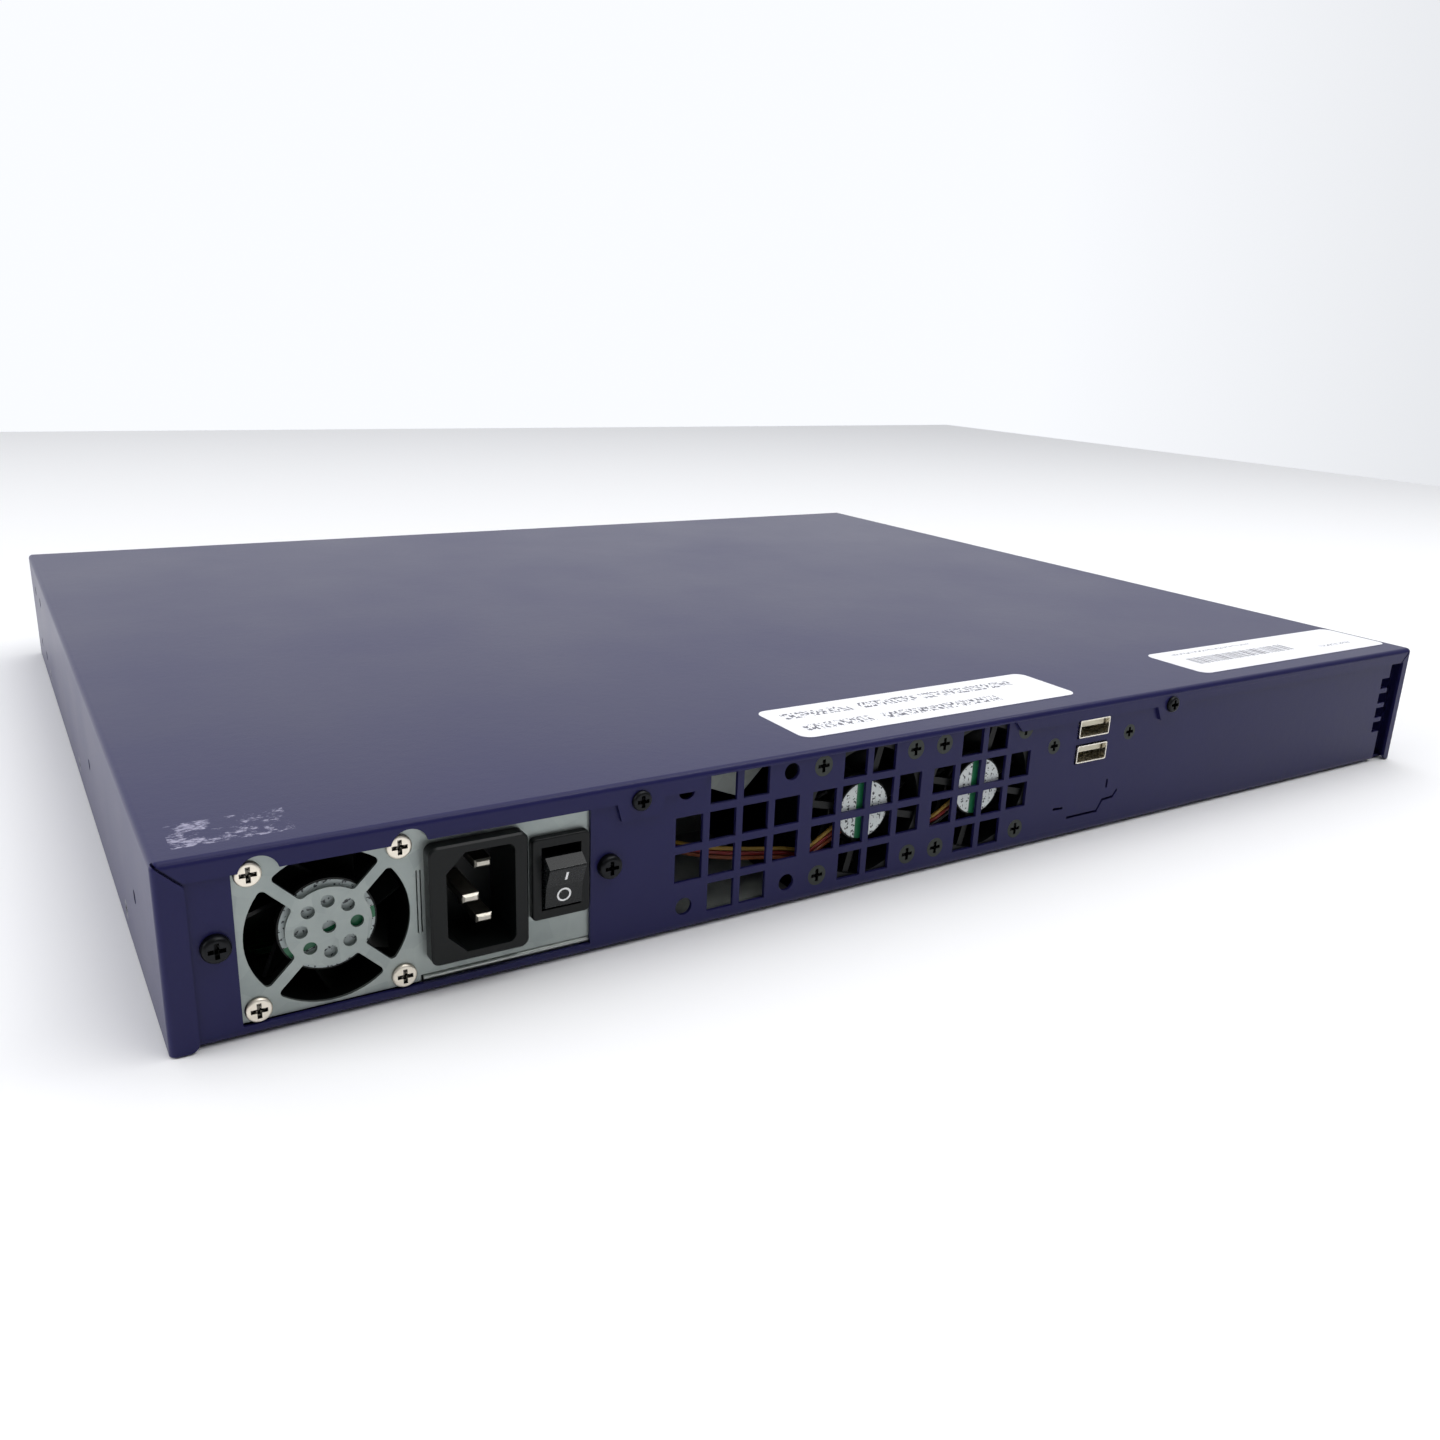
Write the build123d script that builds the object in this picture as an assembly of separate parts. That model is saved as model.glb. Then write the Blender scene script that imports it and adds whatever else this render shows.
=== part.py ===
from build123d import *
import os
from math import cos, pi, radians, sin

# A rack-height firewall appliance, one rack unit tall. All sizes are in millimetres.
# +Z is up. The rear panel, with the mains inlet and the fans, faces +Y. The front, with
# the network jacks and the display, faces -Y. The origin is the middle of the underside.

WIDTH = 440.0            # over the cover's two sides
DEPTH = 365.0            # front flange to rear flange
HEIGHT = 44.0            # one rack unit
SHEET = 1.0              # steel sheet of cover and base
SLIP = 0.1               # gap between cover and base
COVER_BEND = 1.6         # outside radius of the cover's bends
BASE_BEND = 2.2          # outside radius of the base's rear bend

REAR = DEPTH / 2
FRONT = -DEPTH / 2
PANEL_FACE = REAR - SHEET
PANEL_BACK = PANEL_FACE - SHEET
PANEL_TOP = HEIGHT - SHEET - 0.2
BASE_HALF = WIDTH / 2 - SHEET - SLIP
SIDE_WALL_TOP = HEIGHT - 3.5

# Rear flange of the cover, measured up from the underside and in from the supply side.
FLANGE_EDGE = 38.8
FLANGE_RAISED = 42.1
FLANGE_TAB = 34.2
SIDE_FLANGE = 6.0
COVER_SCREWS = (110.1, 304.5)
COVER_SCREW_HEIGHT = 39.0
COVER_SCREW_RADIUS = 2.6

# Forty-millimetre fans and the pierced grid of squares in front of each.
FAN = 40.0
FAN_HOLES = 16.0         # screw centres from the fan's middle, both ways
FAN_DEPTH = 20.0
FAN_BORE = 18.8
ROTOR_RADIUS = 18.2
HUB_RADIUS = 10.2
SHAFT_RADIUS = 1.0
SHAFT_FIT = 0.05
BLADES = 7
GRID_PITCH = 10.0
GRID_HOLE = 8.0
VENT_CENTRES = (139.6, 181.9, 224.5)
VENT_HEIGHT = 22.9
EMPTY_HOLE_RADIUS = 2.4
FLAT_HEAD_RADIUS = 3.0
FLAT_HEAD_DEPTH = 0.9

# Power supply of the small flat kind: 81.5 wide, 40.5 tall, 150 deep.
SUPPLY_LEFT = 13.4
SUPPLY_WIDTH = 81.5
SUPPLY_FACE_END = 98.4
SUPPLY_DEPTH = 150.0
SUPPLY_BASE = SHEET + 0.1
SUPPLY_TOP = SUPPLY_BASE + 40.4
SUPPLY_SHEET = 0.8
SUPPLY_OPENING = (15.0, 97.0)
SUPPLY_SCREWS = (10.9, 101.9)
SUPPLY_SCREW_HEIGHT = 22.9
SUPPLY_FAN = (34.5, 21.7)
GUARD_RADIUS = 18.0
GUARD_HUB = 9.4
GUARD_SPOKE = 2.6
SUPPLY_STEP = 54.4

LEAD_EXIT = (133.5, 25.0)
LEAD_EXIT_RADIUS = 6.5

INLET = (67.9, 22.4)
INLET_FLANGE = (23.8, 29.4)
CAVITY = (68.2, 22.4)
CAVITY_SIZE = (16.6, 25.0)
CAVITY_DEPTH = 16.5
PIN_PITCH = 7.0
PIN_SIZE = (4.0, 2.0)

SWITCH = (88.9, 23.2)
SWITCH_FRAME = (15.0, 21.2)
SWITCH_PROUD = 2.0
ROCKER_WIDTH = 9.5
ROCKER_TILT = 16.0       # either way from level

USB_CENTRE = 269.8
USB_HEIGHTS = (35.7, 27.4)
USB_SHELL = (13.1, 5.7)
USB_SCREWS = (253.3, 286.9)
USB_SCREW_HEIGHT = 31.7

SLOT_EDGES = (430.2, 435.9)
NOTCH_TOPS = (33.3, 27.5, 21.8, 16.1)
NOTCH_SIZE = 4.0

# Side holes, as distances forward of the rear and heights.
RAIL_HOLES = ((38.7, 20.5), (137.0, 20.5))
RAIL_HOLE_RADIUS = 1.75
SIDE_SCREWS = ((65.0, 5.8), (182.5, 5.8), (300.0, 5.8))
EAR_CENTRE = (325.0, 22.0)
EAR_SPACING = (25.0, 22.0)
EAR_HOLE_RADIUS = 2.0

# Front panel and what shows through it, measured in x.
FRONT_FACE = FRONT + SHEET
FRONT_BACK = FRONT_FACE + SHEET
DISPLAY_X = 118.0
DISPLAY_WINDOW = (66.0, 17.0)
DISPLAY_Z = 24.0
KEYPAD_X = 175.0
KEY_OFFSET = 7.5
KEY_RADIUS = 3.0
RESET_X = 70.0
RESET_Z = 12.0
LAMP_X = 70.0
LAMP_HEIGHTS = (21.0, 27.0, 33.0)
BOARD_TOP = 8.6
JACK_COUNT = 6
JACK_PITCH = 15.9
JACK_SIZE = (13.2, 21.0)  # height and depth of the shield
JACK_FIRST_X = -48.0
JACK_HOLE = (11.8, 8.0, 14.0)
CONSOLE_X = -18.0

# Main board and drive.
BOARD = (-206.0, 64.0, FRONT + 5.0, 62.0)
BOARD_THICK = 1.6
MEMORY_X = (-112.0, -122.0)
MEMORY_RUN = (-108.0, 34.0)
FAN_HEADERS = (50.0, 34.0)
FAN_HEADER_Y = 47.0
FAN_HEADER_TOP = BOARD_TOP + 6.4
PLUG_TOP = BOARD_TOP + 18
STANDOFF_POINTS = [(x, y) for x in (-200.0, -70.0, 58.0) for y in (-150.0, -50.0, 54.0)]
CASE_PLATE = 8.8         # radius of the case fans' motor plates
SUPPLY_PLATE = 10.9
FAN_WIRE = 0.55
WIRE_PITCH = 1.3
SUPPLY_WIRE = 0.8
BAFFLE_DEPTH = 15.0
BAFFLE_OUTLINE = ((136, 42.6), (136, 33.0), (149.5, 27.4), (160.5, 38.4), (160.5, 42.6))
DRIVE = (101.6, 147.0, 26.1)
DRIVE_CORNER = (92.0, -158.0, 6.0)


def across(distance):
    """x of a point that far in from the supply side of the case."""
    return WIDTH / 2 - distance


def block(x0, x1, y0, y1, z0, z1):
    box = Box(abs(x1 - x0), abs(y1 - y0), abs(z1 - z0))
    return Pos((x0 + x1) / 2, (y0 + y1) / 2, (z0 + z1) / 2) * box


def rod_x(y, z, x0, x1, radius):
    return Pos((x0 + x1) / 2, y, z) * Rot(0, 90, 0) * Cylinder(radius, abs(x1 - x0))


def rod_y(x, z, y0, y1, radius):
    return Pos(x, (y0 + y1) / 2, z) * Rot(90, 0, 0) * Cylinder(radius, abs(y1 - y0))


def rod_z(x, y, z0, z1, radius):
    return Pos(x, y, (z0 + z1) / 2) * Cylinder(radius, abs(z1 - z0))


def upright(outline, y0, y1):
    """A plate whose outline is drawn in x and z, standing between two depths."""
    return Pos(0, y1, 0) * extrude(Plane.XZ * outline, amount=y1 - y0)


def lengthwise(outline, x0, x1):
    """A bar whose outline is drawn in y and z, running from one x to another."""
    return Pos(x0, 0, 0) * extrude(Plane.YZ * outline, amount=x1 - x0)


def joined(pieces):
    """Separate solids that are one node."""
    return Compound(children=list(pieces))


def fused(pieces):
    whole = pieces[0]
    for piece in pieces[1:]:
        whole = whole + piece
    return whole


def cross_recess(x, z, y, depth, reach):
    """The cross-shaped driver recess of a screw whose head faces +Y."""
    cut = []
    for low, far, half in ((depth / 2, reach, 0.5), (depth, reach * 0.65, 0.35)):
        cut.append(block(x - far, x + far, y - low, y + 1, z - half, z + half))
        cut.append(block(x - half, x + half, y - low, y + 1, z - far, z + far))
    return fused(cut)


def flat_head(x, z, y, radius):
    """A cone that narrows forward from its widest at y."""
    cone = Cone(radius - FLAT_HEAD_DEPTH * 1.4, radius, FLAT_HEAD_DEPTH)
    return Pos(x, y - FLAT_HEAD_DEPTH / 2, z) * Rot(-90, 0, 0) * cone


def flat_screw(x, z, y, radius, length):
    """A countersunk machine screw with its head flush at y, pointing forward."""
    head = flat_head(x, z, y, radius)
    shank = rod_y(x, z, y - length, y - FLAT_HEAD_DEPTH, 1.4)
    return head + shank - cross_recess(x, z, y, 1.4, radius * 0.62)


def pan_screw(x, z, y, radius, length):
    """A pan-head machine screw whose head sits on the face at y."""
    head = rod_y(x, z, y, y + 2.1, radius)
    head = fillet(head.edges().sort_by(Axis.Y)[-1], 1.2)
    shank = rod_y(x, z, y - length, y, 1.6)
    return head + shank - cross_recess(x, z, y + 2.1, 2.4, radius * 0.58)


def countersink(x, z, y, radius, through):
    """The hole that a flat screw needs in a sheet whose outer face is at y."""
    return flat_head(x, z, y, radius) + rod_y(x, z, y - through, y + 0.1, 1.45)


def side_holes(sign):
    """Every hole through one side, as rods to cut out of cover and base."""
    x0 = sign * (BASE_HALF - SHEET - 2)
    x1 = sign * (WIDTH / 2 + 2)
    rods = []
    for distance, height in RAIL_HOLES:
        rods.append(rod_x(REAR - distance, height, x0, x1, RAIL_HOLE_RADIUS))
    for dy in (-0.5, 0.5):
        for dz in (-0.5, 0.5):
            y = REAR - EAR_CENTRE[0] + dy * EAR_SPACING[0]
            z = EAR_CENTRE[1] + dz * EAR_SPACING[1]
            rods.append(rod_x(y, z, x0, x1, EAR_HOLE_RADIUS))
    return rods


# ---- base pan: floor, rear panel and two low side walls of one folded sheet ----

def vent_grid(centre):
    """Squares and corner screw holes of one fan position in the rear panel."""
    x = across(centre)
    cuts = []
    for column in range(4):
        for row in range(4):
            if column in (0, 3) and row in (0, 3):
                continue
            cx = x + GRID_PITCH * (column - 1.5)
            cz = VENT_HEIGHT + GRID_PITCH * (row - 1.5)
            half = GRID_HOLE / 2
            cuts.append(block(cx - half, cx + half, PANEL_BACK - 1, REAR, cz - half, cz + half))
    return cuts


def fan_corners(centre_x, centre_z):
    return [(centre_x + i * FAN_HOLES, centre_z + j * FAN_HOLES) for i in (-1, 1) for j in (-1, 1)]


def knock_out_slits():
    """Narrow pierced lines round a blanked connector hole."""
    width = 0.8
    runs = [((256.6, 10.3), (260.1, 10.1)),
            ((263.2, 6.4), (276.2, 6.4)),
            ((276.2, 6.4), (278.4, 9.9)),
            ((278.4, 9.9), (283.0, 10.2)),
            ((283.0, 10.2), (284.6, 12.2)),
            ((279.5, 14.2), (279.5, 16.4))]
    cuts = []
    for (d0, z0), (d1, z1) in runs:
        start = Vector(across(d0), 0, z0)
        end = Vector(across(d1), 0, z1)
        line = end - start
        middle = (start + end) / 2
        bar = Box(line.length + width, 2 * SHEET + 2, width)
        tilt = -degrees_of(line.Z, line.X)
        cuts.append(Pos(middle.X, PANEL_FACE - SHEET / 2, middle.Z) * Rot(0, tilt, 0) * bar)
    return cuts


def degrees_of(rise, run):
    return Vector(1, 0, 0).get_signed_angle(Vector(run, rise, 0), Vector(0, 0, 1))


def base_pan():
    front = FRONT_FACE
    outline = make_face(Polyline(
        (front, 0), (PANEL_FACE, 0), (PANEL_FACE, PANEL_TOP), (PANEL_BACK, PANEL_TOP),
        (PANEL_BACK, SHEET), (front, SHEET), close=True))
    outline = fillet(outline.vertices().sort_by_distance((PANEL_FACE, 0, 0))[0], BASE_BEND)
    outline = fillet(outline.vertices().sort_by_distance((PANEL_BACK, SHEET, 0))[0], BASE_BEND - SHEET)
    slot_x = across(SLOT_EDGES[0])
    pan = lengthwise(outline, slot_x, BASE_HALF)
    pan += block(-BASE_HALF, slot_x, front, PANEL_FACE - BASE_BEND, 0, SHEET)
    for sign in (-1, 1):
        wall = block(sign * BASE_HALF, sign * (BASE_HALF - SHEET), front + 2, PANEL_BACK - 3,
                     0, SIDE_WALL_TOP)
        pan += wall
        for cut in side_holes(sign):
            pan -= cut
        for distance, height in SIDE_SCREWS:
            y = REAR - distance
            pan -= rod_x(y, height, sign * (BASE_HALF - 3), sign * (BASE_HALF + 1), 1.45)
    # The panel's free end is folded forward, and four slots are pierced through the fold.
    pan += block(slot_x, slot_x + SHEET, PANEL_BACK - 12, PANEL_BACK, 3, 39.5)
    for top in NOTCH_TOPS:
        pan -= block(slot_x - 1, across(425.6), PANEL_BACK - 6, REAR, top - NOTCH_SIZE, top)
    left, right = SUPPLY_OPENING
    pan -= block(across(right), across(left), PANEL_BACK - 1, REAR, 2.7, HEIGHT)
    for distance in SUPPLY_SCREWS:
        pan -= rod_y(across(distance), SUPPLY_SCREW_HEIGHT, PANEL_BACK - 1, REAR, 1.75)
    for distance in COVER_SCREWS:
        pan -= rod_y(across(distance), COVER_SCREW_HEIGHT, PANEL_BACK - 1, REAR, 1.45)
    for centre in VENT_CENTRES:
        for cut in vent_grid(centre):
            pan -= cut
    for x, z in fan_corners(across(VENT_CENTRES[0]), VENT_HEIGHT):
        pan -= rod_y(x, z, PANEL_BACK - 1, REAR, EMPTY_HOLE_RADIUS)
    for centre in VENT_CENTRES[1:]:
        for x, z in fan_corners(across(centre), VENT_HEIGHT):
            pan -= countersink(x, z, PANEL_FACE, FLAT_HEAD_RADIUS, 2 * SHEET)
    for height in USB_HEIGHTS:
        half = (USB_SHELL[0] / 2 + 0.3, USB_SHELL[1] / 2 + 0.3)
        x = across(USB_CENTRE)
        pan -= block(x - half[0], x + half[0], PANEL_BACK - 1, REAR, height - half[1], height + half[1])
    for distance in USB_SCREWS:
        pan -= countersink(across(distance), USB_SCREW_HEIGHT, PANEL_FACE, 2.6, 2 * SHEET)
    for cut in knock_out_slits():
        pan -= cut
    return pan


# ---- top cover: top and two sides of one folded sheet, with return flanges ----

def rear_window():
    """The open part of the cover's rear, seen from behind, between its return flanges."""
    edge = FLANGE_EDGE
    left = SIDE_FLANGE
    right = SLOT_EDGES[1]
    first, second = COVER_SCREWS
    points = [(left, -2), (left, edge),
              (first - 6.4, edge), (first - 5.2, FLANGE_TAB), (first + 6.0, FLANGE_TAB),
              (first + 6.6, edge), (127.0, edge), (129.0, FLANGE_RAISED),
              (235.2, FLANGE_RAISED), (238.1, edge),
              (second - 6.6, edge), (second - 4.4, FLANGE_TAB), (second + 5.6, FLANGE_TAB),
              (second + 6.6, edge), (right, edge), (right, -2)]
    outline = make_face(Polyline(*[(across(d), z) for d, z in points], close=True))
    for dx in (-FAN_HOLES, FAN_HOLES):
        lobe = Pos(across(SUPPLY_FAN[0] + dx + 2.0), 37.8) * Circle(4.3)
        outline = outline + lobe
    return outline


def top_cover():
    shell = block(-WIDTH / 2, WIDTH / 2, FRONT, REAR, 0, HEIGHT)
    upright_edges = shell.edges().filter_by(Axis.Z)
    top_edges = shell.edges().group_by(Axis.Z)[-1]
    shell = fillet(list(upright_edges) + list(top_edges), COVER_BEND)
    inner = WIDTH / 2 - SHEET
    shell -= block(-inner, inner, FRONT + SHEET, REAR - SHEET, -1, HEIGHT - SHEET)
    shell -= upright(rear_window(), REAR - 2 * SHEET, REAR + 1)
    shell -= block(-inner + 3, inner - 3, FRONT - 1, FRONT + 2 * SHEET, -1, HEIGHT - 4.5)
    # The lower corner of each side flange is rounded off.
    for d in (SIDE_FLANGE, SLOT_EDGES[1]):
        x = across(d)
        corner = block(x - 2, x + 2, REAR - 2 * SHEET, REAR + 1, -1, 2)
        side = 1 if x > 0 else -1
        corner -= rod_y(x + side * 2, 2, REAR - 3, REAR + 2, 2)
        keep = block(x, x + side * 2, REAR - 3, REAR + 2, -1, 2)
        shell -= corner & keep
    # A mitred gap parts the top flange from each side flange.
    for sign in (-1, 1):
        middle = (sign * (WIDTH / 2 - 3.6), REAR, HEIGHT - 3.4)
        gap = Box(9.0, 4.0, 0.6)
        shell -= Pos(*middle) * Rot(0, sign * -45, 0) * gap
    for sign in (-1, 1):
        for cut in side_holes(sign):
            shell -= cut
        for distance, height in SIDE_SCREWS:
            y = REAR - distance
            x = sign * WIDTH / 2
            shell -= Pos(x - sign * 0.5, y, height) * Rot(0, sign * 90, 0) * Cone(1.6, 2.6, 1.0)
    for distance in COVER_SCREWS:
        shell -= rod_y(across(distance), COVER_SCREW_HEIGHT, REAR - 2, REAR + 1, 1.7)
    return shell


def rear_cover_screws():
    screws = []
    for distance in COVER_SCREWS:
        x = across(distance)
        head = rod_y(x, COVER_SCREW_HEIGHT, REAR, REAR + 1.2, COVER_SCREW_RADIUS)
        head = fillet(head.edges().sort_by(Axis.Y)[-1], 0.8)
        shank = rod_y(x, COVER_SCREW_HEIGHT, REAR - 6, REAR, 1.4)
        screws.append(head + shank - cross_recess(x, COVER_SCREW_HEIGHT, REAR + 1.2, 1.6, 1.6))
    return joined(screws)


def side_cover_screws():
    screws = []
    for sign in (-1, 1):
        for distance, height in SIDE_SCREWS:
            y = REAR - distance
            x = sign * WIDTH / 2
            head = Pos(x - sign * 0.5, y, height) * Rot(0, sign * 90, 0) * Cone(1.55, 2.55, 1.0)
            shank = rod_x(y, height, x - sign * 0.9, x - sign * 5, 1.4)
            slot = block(x - sign * 0.6, x + sign, y - 1.4, y + 1.4, height - 0.4, height + 0.4)
            slot += block(x - sign * 0.6, x + sign, y - 0.4, y + 0.4, height - 1.4, height + 1.4)
            screws.append(head + shank - slot)
    return joined(screws)


# ---- power supply ----

def guard_openings():
    """Four rounded sectors between the guard's rim, hub and diagonal spokes, and hub holes."""
    ring = Circle(GUARD_RADIUS) - Circle(GUARD_HUB)
    for angle in (45, 135):
        ring -= Rot(0, 0, angle) * Rectangle(3 * GUARD_RADIUS, GUARD_SPOKE)
    ring = fillet(ring.vertices(), 1.1)
    for count in range(8):
        angle = radians(45 * count)
        ring += Pos(6.1 * cos(angle), 6.1 * sin(angle)) * Circle(1.5)
    ring += Circle(1.5)
    return Pos(across(SUPPLY_FAN[0]), SUPPLY_FAN[1]) * ring


def supply_cover():
    """Face, mounting ears and top of the supply, folded from one galvanised sheet."""
    left = across(SUPPLY_LEFT)
    right = across(SUPPLY_LEFT + SUPPLY_WIDTH)
    face_front = PANEL_BACK
    face_back = PANEL_BACK - SUPPLY_SHEET
    face = block(across(SUPPLY_FACE_END), left, face_back, face_front, 3.1, SUPPLY_TOP)
    face += block(across(106.2), across(6.0), face_back, face_front, 12.0, 34.0)
    face -= block(right - 9, across(SUPPLY_STEP), face_back - 1, face_front + 1, 0, 4.6)
    face -= upright(guard_openings(), face_back - 1, face_front + 1)
    for x, z in fan_corners(across(SUPPLY_FAN[0]), SUPPLY_FAN[1]):
        face -= rod_y(x, z, face_back - 1, face_front + 1, 1.75)
    for distance in SUPPLY_SCREWS:
        face -= rod_y(across(distance), SUPPLY_SCREW_HEIGHT, face_back - 1, face_front + 1, 1.65)
    x, z = across(INLET[0]), INLET[1]
    face -= block(x - 10.2, x + 10.2, face_back - 1, face_front + 1, z - 13.6, z + 13.6)
    x, z = across(SWITCH[0]), SWITCH[1]
    face -= block(x - 6.7, x + 6.7, face_back - 1, face_front + 1, z - 9.7, z + 9.7)
    # Two narrow relief slits stand beside the inlet.
    for distance in (54.2, 55.1):
        x = across(distance)
        face -= block(x - 0.15, x + 0.15, face_back - 1, face_front + 1, 15.5, 31.0)
    top = block(right, left, PANEL_BACK - SUPPLY_DEPTH, face_back, SUPPLY_TOP - SUPPLY_SHEET, SUPPLY_TOP)
    return face + (top - fan_notch(SUPPLY_TOP))


def fan_notch(z):
    """The fan is as tall as the supply, so floor and top are cut away over and under it."""
    x = across(SUPPLY_FAN[0])
    back = PANEL_BACK - SUPPLY_SHEET
    return block(x - 20.4, x + 20.4, back - FAN_DEPTH - 0.5, back, z - 3, z + 3)


def supply_case():
    """Floor, sides and inner end of the supply, the lower tray under its cover."""
    left = across(SUPPLY_LEFT)
    right = across(SUPPLY_LEFT + SUPPLY_WIDTH)
    back = PANEL_BACK - SUPPLY_DEPTH
    face_back = PANEL_BACK - SUPPLY_SHEET
    top = SUPPLY_TOP - SUPPLY_SHEET
    tray = block(right, left, back, face_back, SUPPLY_BASE, SUPPLY_BASE + SUPPLY_SHEET)
    tray -= fan_notch(SUPPLY_BASE)
    tray += block(left - SUPPLY_SHEET, left, back, face_back, SUPPLY_BASE, top)
    tray += block(right, right + SUPPLY_SHEET, back, face_back, SUPPLY_BASE, top)
    tray += block(right, left, back, back + SUPPLY_SHEET, SUPPLY_BASE, top)
    # The tray's front edge is rolled, and shows as a bright line under the face.
    lip_x = across(SUPPLY_STEP + 0.6)
    tray += block(right, lip_x, face_back - SUPPLY_SHEET, face_back, SUPPLY_BASE, 4.3)
    tray += rod_x(PANEL_BACK - 1.0, 3.4, across(SUPPLY_FACE_END), lip_x, 0.9)
    tray -= rod_y(LEAD_EXIT[0], LEAD_EXIT[1], back - 1, back + 2, LEAD_EXIT_RADIUS)
    # The inner side wall is cut away round the switch's body.
    x, z = across(SWITCH[0]), SWITCH[1]
    tray -= block(x - 8, x, face_back - 24, face_back, z - 10.0, z + 10.0)
    for column in range(6):
        for row in range(3):
            x = right + 22 + column * 9.5
            z = 12 + row * 9
            tray -= block(x - 3.5, x + 3.5, back - 1, back + 2, z - 3, z + 3)
    return tray


def supply_screws():
    return joined(pan_screw(across(d), SUPPLY_SCREW_HEIGHT, PANEL_FACE, 3.15, 6.0) for d in SUPPLY_SCREWS)


def supply_fan_screws():
    """Nickel screws of the guard, whose heads are low domes."""
    screws = []
    for x, z in fan_corners(across(SUPPLY_FAN[0]), SUPPLY_FAN[1]):
        head = rod_y(x, z, PANEL_BACK, PANEL_BACK + 1.0, 2.9)
        head = fillet(head.edges().sort_by(Axis.Y)[-1], 0.7)
        shank = rod_y(x, z, PANEL_BACK - 8, PANEL_BACK, 1.6)
        screws.append(head + shank - cross_recess(x, z, PANEL_BACK + 1.0, 1.6, 1.8))
    return joined(screws)


def supply_board():
    """The supply's circuit board with the outlines of what stands on it."""
    right = across(SUPPLY_LEFT + SUPPLY_WIDTH)
    floor = SUPPLY_BASE + SUPPLY_SHEET
    y1 = PANEL_BACK - 26.0
    y0 = PANEL_BACK - SUPPLY_DEPTH + 4.0
    board = block(right + 3, right + 78, y0, y1, floor + 3, floor + 4.6)
    deck = floor + 4.6
    board += block(right + 20, right + 44, y0 + 45, y0 + 73, deck, deck + 24)
    board += block(right + 52, right + 55, y0 + 20, y0 + 80, deck, deck + 28)
    board += block(right + 10, right + 13, y0 + 20, y0 + 80, deck, deck + 28)
    for index in range(3):
        board += rod_z(right + 64, y0 + 20 + index * 24, deck, deck + 26, 8.0)
        board += rod_z(right + 31, y0 + 12 + index * 11, deck, deck + 16, 4.0)
    for x, y in ((right + 8, y0 + 8), (right + 72, y0 + 8), (right + 8, y1 - 8), (right + 72, y1 - 8)):
        board += rod_z(x, y, floor, floor + 3, 2.5)
    return board


# ---- fans ----

def fan_frame(x, z, rear, plate_radius, first_strut):
    """Square fan housing with its bearing tube and motor plate on four struts."""
    front = rear - FAN_DEPTH
    half = FAN / 2
    frame = block(x - half, x + half, front, rear, z - half, z + half)
    frame = fillet(frame.edges().filter_by(Axis.Y), 2.0)
    frame -= rod_y(x, z, front - 1, rear + 1, FAN_BORE)
    for cx, cz in fan_corners(x, z):
        frame -= rod_y(cx, cz, front - 1, rear + 1, 1.65)
    plate_face = rear - 0.8
    plate_back = plate_face - 2.0
    strut_end = FAN_BORE + 0.6
    for angle in range(first_strut, first_strut + 360, 90):
        strut = Pos((plate_radius - 1 + strut_end) / 2, 0, 0) * Box(strut_end - plate_radius + 1, 2.0, 2.0)
        frame += Pos(x, (plate_face + plate_back) / 2, z) * Rot(0, angle, 0) * strut
    frame += rod_y(x, z, plate_back, plate_face, plate_radius)
    # The leads leave through a notch in the side wall.
    frame -= block(x + 16, x + half + 1, rear - 16, rear + 1, z - 14, z - 6.5)
    frame += rod_y(x, z, plate_back - 9, plate_back, 6.0)
    frame -= rod_y(x, z, plate_back - 10, plate_face - 1.0, SHAFT_RADIUS + SHAFT_FIT)
    return frame


def fan_rotor(x, z, rear):
    """Rotor cup with pitched blades and the shaft that runs in the motor's tube."""
    open_end = rear - 0.8 - 2.0 - 0.6
    closed_end = open_end - 13.0
    cup = rod_y(x, z, closed_end, open_end, HUB_RADIUS)
    cup = fillet(cup.edges().sort_by(Axis.Y)[0], 1.0)
    cup -= rod_y(x, z, closed_end + 1.2, open_end + 1, HUB_RADIUS - 1.2)
    rim = rod_y(x, z, closed_end, open_end, ROTOR_RADIUS)
    core = rod_y(x, z, closed_end - 1, open_end + 1, HUB_RADIUS - 0.6)
    middle = (open_end + closed_end) / 2
    vanes = []
    for index in range(BLADES):
        vane = Pos((HUB_RADIUS + ROTOR_RADIUS) / 2, 0, 0) * Rot(38, 0, 0) * Box(12.0, 15.0, 0.9)
        vane = Pos(x, middle, z) * Rot(0, 360 / BLADES * index, 0) * vane
        vanes.append((vane & rim) - core)
    shaft = rod_y(x, z, closed_end + 1.0, rear - 0.8 - 2.2, SHAFT_RADIUS)
    return fused([cup, shaft] + vanes)


def hub_label(x, z, rear, radius):
    return rod_y(x, z, rear - 0.8, rear - 0.65, radius)


def case_fan_screws():
    screws = []
    for centre in VENT_CENTRES[1:]:
        for x, z in fan_corners(across(centre), VENT_HEIGHT):
            screws.append(flat_screw(x, z, PANEL_FACE, FLAT_HEAD_RADIUS - 0.05, 10.0))
    return joined(screws)


# ---- mains inlet and power switch ----

def cavity_outline(grow):
    """The inlet's cavity: a rectangle with the two corners on its earth side cut off."""
    half_x = CAVITY_SIZE[0] / 2 + grow
    half_z = CAVITY_SIZE[1] / 2 + grow
    cut = 4.6
    shape = make_face(Polyline(
        (half_x - cut, half_z), (half_x, half_z - cut), (half_x, cut - half_z), (half_x - cut, -half_z),
        (-half_x, -half_z), (-half_x, half_z), close=True))
    shape = fillet(shape.vertices().filter_by(lambda v: v.X < 0), 1.8)
    return Pos(across(CAVITY[0]), CAVITY[1]) * shape


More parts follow.
